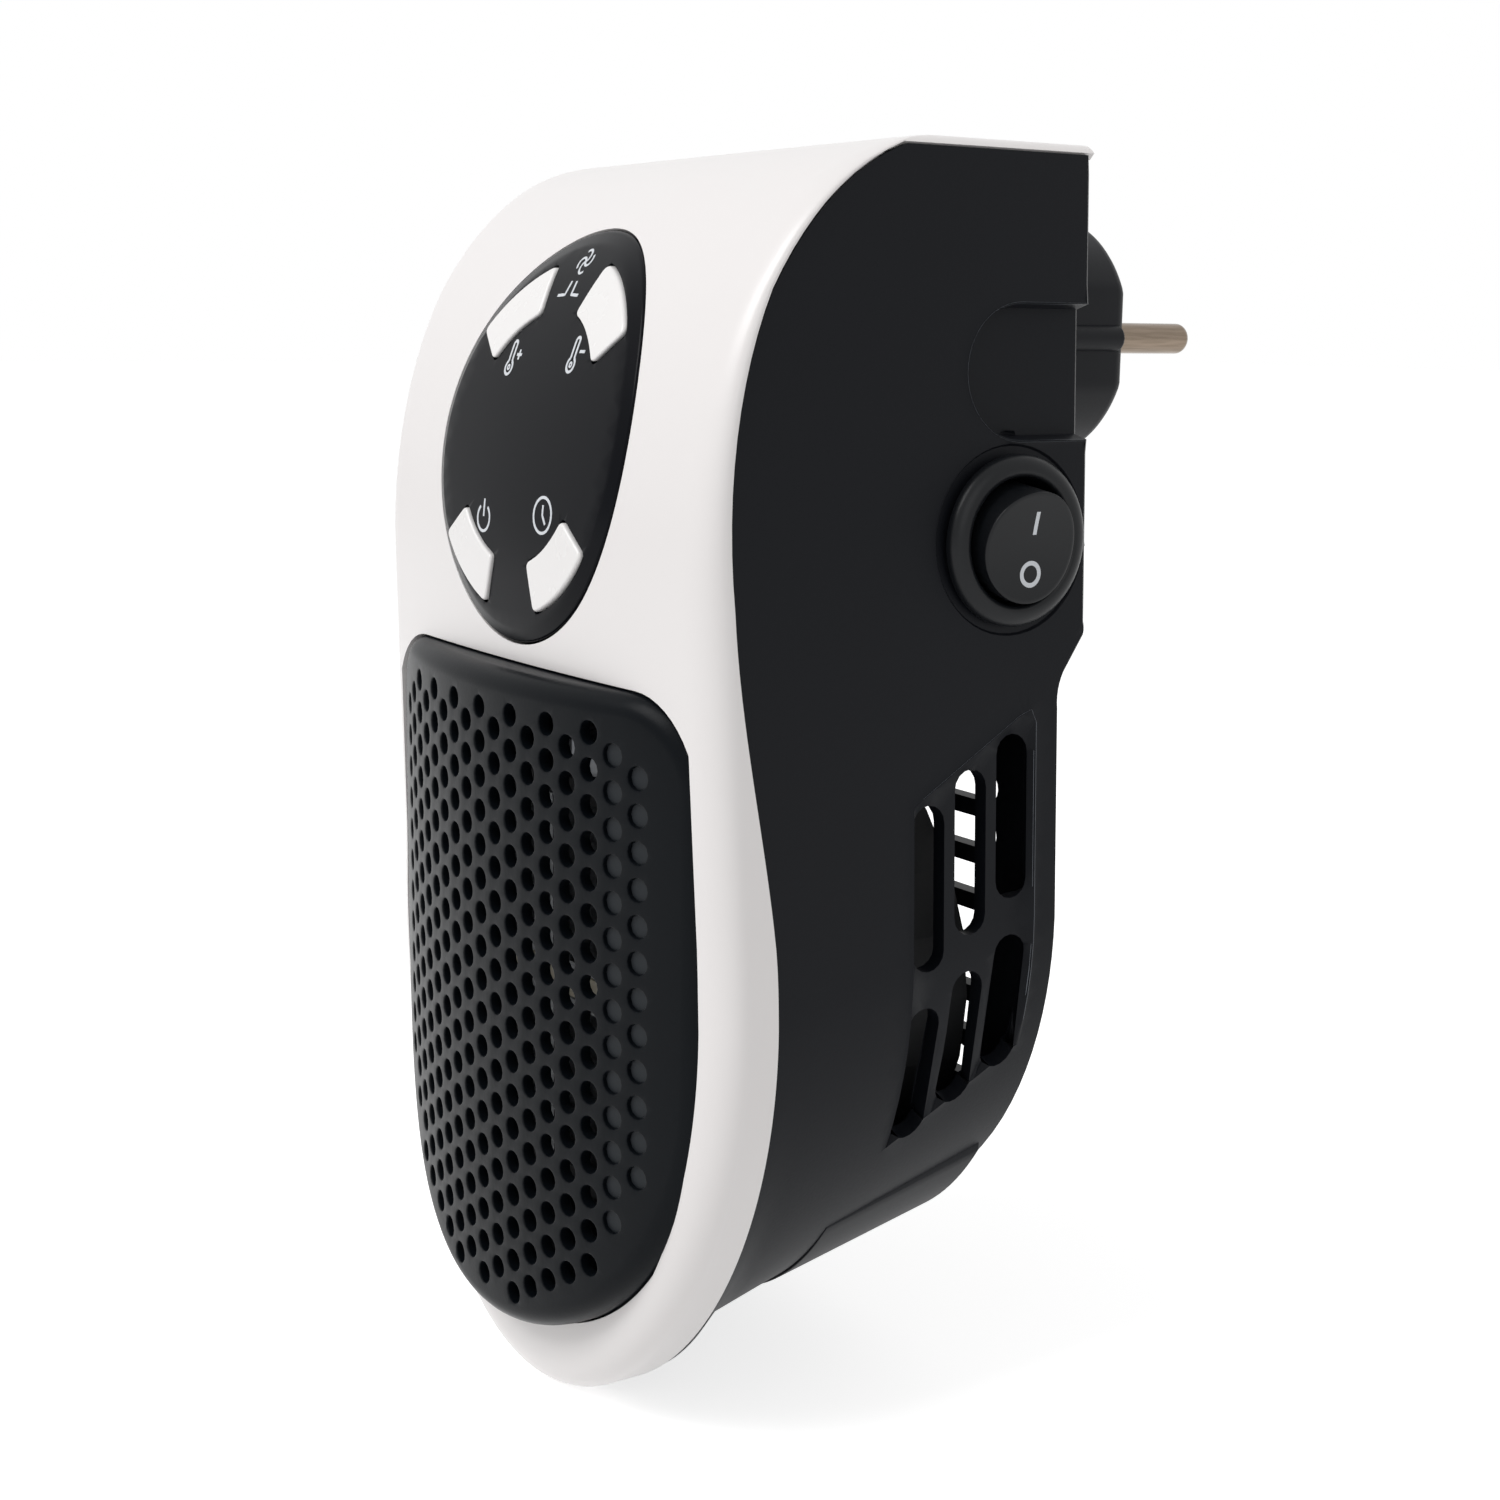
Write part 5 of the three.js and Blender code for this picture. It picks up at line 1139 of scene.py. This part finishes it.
def intake_outlines():
    """Level slots across the lower back, in two columns that follow its round lower edge."""
    slots = []
    for row in range(INTAKE_ROWS):
        z = INTAKE_TOP - INTAKE_HEIGHT / 2 - INTAKE_PITCH * row
        drop = max(0, BACK_ARC_CENTRE - z) / (BACK_ARC_CENTRE - BACK_BOTTOM)
        half = (INTAKE_HALF_WIDTH * math.sqrt(1 - drop**2) - INTAKE_RIB / 2) / 2
        for side in (-1, 1):
            middle = side * (INTAKE_RIB / 2 + half)
            slots.append(slot_outline(middle, z, half, INTAKE_HEIGHT / 2))
    return slots


def well_parts():
    """Screw wells: tubes behind the holes in the back, each with a seat for its screw."""
    inner, outer = WELL_RADIUS + WELL_CLEAR, WELL_RADIUS + WELL_WALL
    front, back = WELL_SEAT - WELL_NOSE, BACK_DEPTH - WALL + WELL_OVERLAP
    profile = [(WELL_SHANK, front), (outer, front), (outer, back), (inner, back)]
    profile += [(inner, WELL_SEAT), (WELL_SHANK, WELL_SEAT), (WELL_SHANK, front)]
    return [turned(profile, 20, (x, 0, z)) for x, z in WELLS]


def plug_parts():
    """Plug: a turned body whose radius is cut by the two flats wherever their distance divided
    by the cosine of the angle is the smaller, and a bevelled face with two pin holes."""
    turn = whole_turn(144)
    shoulder = BACK_DEPTH + GAP
    flat_start = shoulder + WALL
    edge = PLUG_FACE - PLUG_CHAMFER
    profile = [(PLUG_SHAFT, PLUG_SHAFT_END), (PLUG_SHAFT, PLUG_NECK_END)]
    profile += [(PLUG_NECK, PLUG_NECK_END), (PLUG_NECK, shoulder)]
    profile += [(PLUG_RADIUS - PLUG_STEP, shoulder), (PLUG_RADIUS, shoulder + PLUG_STEP)]
    profile += [(PLUG_RADIUS, flat_start), (PLUG_RADIUS, flat_start + 0.01)]
    profile += [(PLUG_RADIUS, depth) for depth in np.linspace(flat_start + 4, edge, 7)]
    bend = np.linspace(0, math.pi / 2, 7)[1:]
    centre = (PLUG_RADIUS - PLUG_CHAMFER, edge)
    profile += ellipse(bend, PLUG_CHAMFER, PLUG_CHAMFER, centre).tolist()
    rows = []
    for radius, depth in profile:
        reach = np.full_like(turn, radius)
        if depth > flat_start:
            limit = PLUG_FLAT - max(0, PLUG_RADIUS - radius) * PLUG_FLAT_FALL
            reach = np.minimum(reach, limit / np.maximum(np.abs(np.cos(turn)), 1e-6))
        rows.append(at_depth(ellipse(turn, reach, reach, (0, PLUG_HEIGHT)), depth))
    rim = rows[-1][:, [0, 2]]
    holes = [circle(s * PIN_X, PLUG_HEIGHT, PIN_RADIUS + GAP, 28) for s in (-1, 1)]
    face = filled(rim, holes, 2.4, lambda flat: at_depth(flat, PLUG_FACE))
    parts = [strip_between(rows), face]
    for hole in holes:
        points, faces = strip_between([at_depth(hole, PLUG_FACE - d) for d in (0, PIN_HOLE)])
        floor = list(range(len(hole), 2 * len(hole)))
        parts.append((points, [*faces.tolist(), floor]))
    parts.append((rows[0], [list(range(len(turn)))]))
    return parts


def rib_parts():
    """A rounded rib along each flat of the plug, ending just short of its face."""
    parts = []
    for side in (-1, 1):
        root = (side * (PLUG_FLAT - RIB_ROOT), PLUG_HEIGHT)
        flat = slot_outline(*root, RIB_RISE + RIB_ROOT, RIB_HALF)
        flat = columns(side * np.minimum(side * flat[:, 0], PLUG_FLAT + RIB_RISE), flat[:, 1])
        shrunk = (flat - root) * RIB_SHRINK + root
        end = PLUG_FACE - RIB_SHORT
        loops = [(flat, BACK_DEPTH + GAP + WALL), (flat, end - RIB_ROUND), (shrunk, end)]
        parts.append(capped([at_depth(loop, depth) for loop, depth in loops]))
    return parts


def pin_parts(side):
    """Round pin: a straight shank that closes over a quarter-round tip."""
    tip = PLUG_FACE + PIN_LENGTH
    root = PLUG_FACE - PIN_ROOT
    profile = [(0, root), (PIN_RADIUS, root)]
    profile += [(PIN_RADIUS, y) for y in np.linspace(PLUG_FACE, tip - PIN_TIP, 4)]
    bend = np.linspace(0, math.pi / 2, 9)[1:]
    profile += ellipse(bend, PIN_TIP, PIN_TIP, (PIN_RADIUS - PIN_TIP, tip - PIN_TIP)).tolist()
    return [turned([*profile, (0, tip)], 40, (side * PIN_X, 0, PLUG_HEIGHT))]


def switch_housing_parts():
    """Round bezel over the case's wall with a crowned rim, its bore, and the barrel behind. The
    crown is a quarter ellipse up to its crest and another down to the bore."""
    floor = PIVOT_X - ROCKER_DEPTH - ROCKER_RADIUS / 2
    lip = FLANGE_BACK + FLANGE_LIP
    profile = [(0, BARREL_END), (BARREL_RADIUS, BARREL_END), (BARREL_RADIUS, FLANGE_BACK)]
    profile += [(FLANGE_RADIUS, FLANGE_BACK), (FLANGE_RADIUS, lip)]
    bend = np.linspace(0, math.pi / 2, 9)[1:]
    width, bore = FLANGE_RADIUS - FLANGE_CREST, FLANGE_CREST - SWITCH_BORE
    profile += ellipse(bend, width, FLANGE_FACE - lip, (FLANGE_CREST, lip)).tolist()
    fall = columns(-bore * np.sin(bend), -FLANGE_FALL * (1 - np.cos(bend)))
    profile += (fall + (FLANGE_CREST, FLANGE_FACE)).tolist()
    profile += [(SWITCH_BORE, floor), (0, floor)]
    return [turned(profile, 72, (0, SWITCH_DEPTH, SWITCH_HEIGHT), "width")]


def rocker_to_case(points):
    """Tips the rocker's own points, counted from its pivot, so that its upper half stands out."""
    x, y, z = points.T
    level, tilt = math.cos(ROCKER_TIP), math.sin(ROCKER_TIP)
    tipped = columns(x * level + z * tilt, y, z * level - x * tilt)
    return tipped + (PIVOT_X, SWITCH_DEPTH, SWITCH_HEIGHT)


def rocker_face_at(z):
    """Height of the rocker's dished face over its pivot: it grows with the square of z."""
    return ROCKER_RISE - ROCKER_DISH + ROCKER_DISH * (z / ROCKER_RADIUS) ** 2


def rocker_parts():
    """Rocker: a round key with a dished face, straight sides and a flat inner end."""
    y, z = circle(0, 0, ROCKER_RADIUS, 72).T
    shares = (0.02, 0.2, 0.4, 0.6, 0.8, 0.92, 1.0)
    rows = [columns(rocker_face_at(share * z), share * y, share * z) for share in shares]
    rows += [columns(-ROCKER_DEPTH, share * y, share * z) for share in (1.0, 0.02)]
    points, faces = capped(rows)
    return [(rocker_to_case(points), faces)]


def on_rocker(flat, lift):
    """Places flat points, across and up, on the rocker's dished face."""
    y, z = flat.T
    return rocker_to_case(columns(rocker_face_at(z) + lift, y, z))


def mark_parts(width):
    """The two signs on the rocker: a bar for on above and a ring for off below."""
    bar = line_path((MARK_ASIDE, 1.7), (MARK_ASIDE, 4.9))
    ring = arc_path(MARK_ASIDE, -3.7, 1.5, 0, 352, 44)
    return [stroke(bar, width, on_rocker), stroke(ring, width, on_rocker, True)]


def place_object(name, data):
    """Adds an object with its data to the scene."""
    added = bpy.data.objects.new(name, data)
    bpy.context.scene.collection.objects.link(added)
    return added


def aim_camera(settings):
    """Sets the camera at the photograph's place and turn, with its own slight roll."""
    azimuth, pitch, roll = settings.azimuth, settings.pitch, settings.roll
    reach = math.cos(pitch)
    ahead = (-math.sin(azimuth) * reach, math.cos(azimuth) * reach, -math.sin(pitch))
    forward, right = Vector(ahead), Vector((math.cos(azimuth), math.sin(azimuth), 0))
    up = right.cross(forward)
    level, tilt = math.cos(roll), math.sin(roll)
    axes = (right * level + up * tilt, up * level - right * tilt, -forward)
    camera = place_object("camera", bpy.data.cameras.new("camera"))
    camera.data.lens = settings.lens
    camera.data.sensor_width = 36
    camera.data.dof.use_dof = False
    turn = Matrix(axes).transposed().to_4x4()
    camera.matrix_world = Matrix.Translation(settings.camera_place) @ turn
    bpy.context.scene.camera = camera


def seen_directly(tree):
    """One where a ray comes from the camera, a reflection or glass, otherwise zero."""
    rays = add_node(tree, "ShaderNodeLightPath").outputs
    seen = rays["Is Camera Ray"]
    for kind in ("Is Glossy Ray", "Is Transmission Ray"):
        larger = {"operation": "MAXIMUM"}
        seen = add_node(tree, "ShaderNodeMath", larger, {0: seen, 1: rays[kind]}).outputs[0]
    return seen


def light_world(level):
    """A world that lights evenly at a plain level and shows as white."""
    world = bpy.data.worlds.new("studio")
    world.use_nodes = True
    tree = world.node_tree
    tree.nodes.clear()
    links = {0: seen_directly(tree)}
    for place, strength in ((1, level), (2, 1.0)):
        light = {"Color": srgb("#ffffff"), "Strength": strength}
        links[place] = add_node(tree, "ShaderNodeBackground", light).outputs[0]
    mix = add_node(tree, "ShaderNodeMixShader", None, links)
    add_node(tree, "ShaderNodeOutputWorld", None, {"Surface": mix.outputs[0]})
    bpy.context.scene.world = world


def lay_floor(height):
    """A wide pale floor that shows as white where no shadow falls on it."""
    side = np.linspace(-FLOOR_REACH, FLOOR_REACH, 9)
    x, y = np.meshgrid(side, side)
    mesh = bpy.data.meshes.new("floor")
    points = columns(x.ravel(), y.ravel(), height)
    mesh.from_pydata(points.tolist(), [], grid_faces(9, 9).tolist())
    floor = place_object("floor", mesh)
    material = bpy.data.materials.new("pale_studio_floor")
    material.use_nodes = True
    tree = material.node_tree
    sockets = tree.nodes["Principled BSDF"].inputs
    sockets["Base Color"].default_value = srgb("#f4f4f4")
    sockets["Roughness"].default_value = 1.0
    sockets["Specular IOR Level"].default_value = 0.0
    sockets["Emission Color"].default_value = srgb("#ffffff")
    share = {"operation": "MULTIPLY", 1: FLOOR_GLOW}
    lift = add_node(tree, "ShaderNodeMath", share, {0: seen_directly(tree)})
    tree.links.new(lift.outputs[0], sockets["Emission Strength"])
    mesh.materials.append(material)


def colour_setting(name, what, default):
    """A setting for a colour, written as an sRGB hex code."""
    return bpy.props.StringProperty(
        name=name, description="Colour of the " + what, default=default
    )


def number_setting(name, description, default, subtype="NONE"):
    """A setting for a number."""
    return bpy.props.FloatProperty(
        name=name, description=description, default=default, subtype=subtype
    )


def hang_lamp(name, place, size, power):
    """A square soft lamp at a place, aimed at the middle of the heater."""
    lamp = place_object(name, bpy.data.lights.new(name, "AREA"))
    lamp.data.size = size
    lamp.data.energy = power
    lamp.location = place
    aim = Vector(LAMP_AIM) - Vector(place)
    lamp.rotation_euler = aim.to_track_quat("-Z", "Y").to_euler()


class FanHeaterColours(bpy.types.PropertyGroup):
    """Colours of the heater's main mouldings, as sRGB hex codes."""

    white: colour_setting("White front", "white front", "#f1eeed")
    black: colour_setting("Black case", "rear case", "#0a0c10")
    slate: colour_setting("Slate grille", "domed grille", "#080b0f")
    panel: colour_setting("Panel", "oval control panel", "#07080d")


class FanHeaterSizes(bpy.types.PropertyGroup):
    """Sizes of the fine details."""

    hole: number_setting(
        "Hole", "Radius of the grille's holes", HOLE_RADIUS * MM, "DISTANCE"
    )
    blind_hole: number_setting(
        "Blind hole", "How far the blind holes' floors are sunk", HOLE_FLOOR * MM, "DISTANCE"
    )
    grille_wall: number_setting(
        "Grille wall", "Thickness of the grille", GRILLE_THICKNESS * MM, "DISTANCE"
    )
    button_rise: number_setting(
        "Button rise", "How far the buttons stand out", BUTTON_PROUD * MM, "DISTANCE"
    )
    sign_line: number_setting(
        "Sign line", "Width of the panel's printed lines", SIGN_WIDTH * MM, "DISTANCE"
    )
    mark_line: number_setting(
        "Mark line", "Width of the rocker's printed lines", MARK_WIDTH * MM, "DISTANCE"
    )


class FanHeaterStage(bpy.types.PropertyGroup):
    """Camera, lamps and floor."""

    azimuth: number_setting(
        "Azimuth", "Camera's angle to the right of the front", math.radians(56.53), "ANGLE"
    )
    pitch: number_setting("Pitch", "Camera's angle below level", math.radians(10.59), "ANGLE")
    roll: number_setting("Roll", "Camera's turn about its own axis", math.radians(0.71), "ANGLE")
    lens: number_setting("Lens", "Focal length for a 36 mm sensor", 54.43, "DISTANCE_CAMERA")
    camera_place: bpy.props.FloatVectorProperty(
        name="Camera place", description="Where the camera stands",
        default=(0.2846, -0.2461, 0.0012), subtype="TRANSLATION",
    )
    floor_height: number_setting(
        "Floor", "Height of the floor, just under the heater",
        float(cad_box[0][2]) - FLOOR_GAP, "DISTANCE",
    )
    world_level: number_setting("World", "Strength of the even light", 0.36)
    key_power: number_setting("Key lamp", "Power of the lamp in front", 12.0)
    fill_power: number_setting("Fill lamp", "Power of the lamp on the right", 2.4)


finishes = {}


class FANHEATER_OT_stage(bpy.types.Operator):
    """Set the camera, the lamps, the white world and the floor"""

    bl_idname = "fan_heater.stage"
    bl_label = "Stage"

    def execute(self, context):
        settings = context.scene.fan_heater_stage
        aim_camera(settings)
        light_world(settings.world_level)
        lay_floor(settings.floor_height)
        hang_lamp("key_lamp", *KEY_LAMP, settings.key_power)
        hang_lamp("fill_lamp", *FILL_LAMP, settings.fill_power)
        context.scene.view_settings.view_transform = "Standard"
        return {"FINISHED"}


class FANHEATER_OT_finishes(bpy.types.Operator):
    """Make the finishes, and give one to every CAD node that stays in sight or inside"""

    bl_idname = "fan_heater.finishes"
    bl_label = "Finishes"

    def execute(self, context):
        finishes.update(make_finishes(context.scene.fan_heater_colours))
        for finish, names in KEPT_NODES.items():
            for name in names.split():
                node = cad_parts[name]
                if not node.material_slots:
                    raise RuntimeError(name + " has no material slot")
                for place in node.material_slots:
                    place.material = finishes[finish]
        return {"FINISHED"}


class FANHEATER_OT_front_shell(bpy.types.Operator):
    """Build the white front"""

    bl_idname = "fan_heater.front_shell"
    bl_label = "White front"

    def execute(self, context):
        make_piece(
            "white_front", front_shell_parts(), "white", "housing", "white_shell",
            ("front_shell",), wall=TOP_PLATE, bevel=0.3,
        )
        return {"FINISHED"}


class FANHEATER_OT_grille(bpy.types.Operator):
    """Build the domed grille and the floors of its blind holes"""

    bl_idname = "fan_heater.grille"
    bl_label = "Grille"

    def execute(self, context):
        sizes = context.scene.fan_heater_sizes
        radius, sunk = drawn(sizes.hole), drawn(sizes.blind_hole)
        make_piece(
            "domed_grille", grille_parts(radius), "slate", "housing", "slate_grille",
            ("front_grille",), wall=drawn(sizes.grille_wall), bevel=0.3,
        )
        floors = blind_floor_parts(radius, sunk)
        # The floors take a lighter grey than the grille: painted light on the same resin
        make_piece("grille_blind_floors", floors, "floor", "housing", "slate_grille")
        return {"FINISHED"}


class FANHEATER_OT_control_panel(bpy.types.Operator):
    """Build the oval panel and its printed signs"""

    bl_idname = "fan_heater.control_panel"
    bl_label = "Control panel"

    def execute(self, context):
        make_piece(
            "oval_panel", panel_parts(), "gloss", "housing", "gloss_black_panel",
            ("control_panel",), wall=PANEL_WALL, bevel=0.15,
        )
        signs = icon_parts(drawn(context.scene.fan_heater_sizes.sign_line))
        make_piece("panel_signs", signs, "print", "housing", "gloss_black_panel", **THIN_SKIN)
        return {"FINISHED"}


class FANHEATER_OT_buttons(bpy.types.Operator):
    """Build the four white buttons"""

    bl_idname = "fan_heater.buttons"
    bl_label = "Buttons"

    def execute(self, context):
        rise = drawn(context.scene.fan_heater_sizes.button_rise)
        for quadrant, name in enumerate(BUTTONS):
            make_piece(
                name + "_head", button_parts(quadrant, rise), "button", name, "white_buttons",
                (name,), sharp=75,
            )
        return {"FINISHED"}


class FANHEATER_OT_rear_case(bpy.types.Operator):
    """Build the black case with its vents, scoops, intake, screw wells and foot, and the painted
    highlights along its edges
    """

    bl_idname = "fan_heater.rear_case"
    bl_label = "Rear case"

    def execute(self, context):
        make_piece(
            "vented_case", case_parts(), "black", "housing", "black_case",
            ("rear_case",), wall=WALL, bevel=0.3,
        )
        make_piece("screw_wells", well_parts(), "black", "housing", "black_case")
        make_piece(
            "bottom_foot", foot_parts(), "black", "housing", "black_case",
            ("rear_foot",), bevel=0.35,
        )
        # Painted highlights: light grey strips along each side's scoop and vent panel edges
        for side, name in SIDES:
            make_piece(
                "case_highlight_strips_" + name, highlight_strip_parts(side), "painted_edge_highlight", "housing", "black_case",
                **THIN_SKIN,
            )
        return {"FINISHED"}


class FANHEATER_OT_plug(bpy.types.Operator):
    """Build the plug, its ribs and its two pins"""

    bl_idname = "fan_heater.plug"
    bl_label = "Plug"

    def execute(self, context):
        make_piece(
            "plug_moulding", plug_parts(), "plug", "plug", "black_plug", ("plug_body",),
            bevel=0.25,
        )
        make_piece("plug_ribs", rib_parts(), "plug", "plug", "black_plug", bevel=0.4)
        for side, name in SIDES:
            make_piece(
                "pin_" + name, pin_parts(side), "nickel", "plug", "nickel_pins",
                ("plug_pin_" + name,),
            )
        return {"FINISHED"}


class FANHEATER_OT_rocker_switch(bpy.types.Operator):
    """Build the round rocker switch and its two signs"""

    bl_idname = "fan_heater.rocker_switch"
    bl_label = "Rocker switch"

    def execute(self, context):
        make_piece(
            "switch_bezel", switch_housing_parts(), "switch", "housing", "switch_black",
            ("switch_housing",),
        )
        make_piece(
            "rocker_key", rocker_parts(), "switch", "rocker", "switch_black",
            ("switch_rocker",), bevel=0.3,
        )
        marks = mark_parts(drawn(context.scene.fan_heater_sizes.mark_line))
        make_piece("rocker_signs", marks, "print", "rocker", "switch_black", **THIN_SKIN)
        return {"FINISHED"}


class FANHEATER_PT_panel(bpy.types.Panel):
    """Sidebar panel that lists the steps of the build"""

    bl_idname = "FANHEATER_PT_panel"
    bl_label = "Fan heater"
    bl_space_type = "VIEW_3D"
    bl_region_type = "UI"
    bl_category = "Fan heater"

    def draw(self, context):
        column = self.layout.column()
        for step in STEPS:
            column.operator(step.bl_idname)
        for group in SETTINGS:
            values = getattr(context.scene, group)
            for name in values.__annotations__:
                column.prop(values, name)


STEPS = (
    FANHEATER_OT_stage,
    FANHEATER_OT_finishes,
    FANHEATER_OT_front_shell,
    FANHEATER_OT_grille,
    FANHEATER_OT_control_panel,
    FANHEATER_OT_buttons,
    FANHEATER_OT_rear_case,
    FANHEATER_OT_plug,
    FANHEATER_OT_rocker_switch,
)
SETTINGS = {
    "fan_heater_colours": FanHeaterColours,
    "fan_heater_sizes": FanHeaterSizes,
    "fan_heater_stage": FanHeaterStage,
}
CLASSES = (*SETTINGS.values(), *STEPS, FANHEATER_PT_panel)


def register():
    for kind in CLASSES:
        bpy.utils.register_class(kind)
    for name, group in SETTINGS.items():
        setattr(bpy.types.Scene, name, bpy.props.PointerProperty(type=group))


def unregister():
    for name in SETTINGS:
        delattr(bpy.types.Scene, name)
    for kind in reversed(CLASSES):
        bpy.utils.unregister_class(kind)


def main():
    register()
    bpy.ops.fan_heater.stage()
    bpy.ops.fan_heater.finishes()
    bpy.ops.fan_heater.front_shell()
    bpy.ops.fan_heater.grille()
    bpy.ops.fan_heater.control_panel()
    bpy.ops.fan_heater.buttons()
    bpy.ops.fan_heater.rear_case()
    bpy.ops.fan_heater.plug()
    bpy.ops.fan_heater.rocker_switch()


if __name__ == "__main__":
    main()
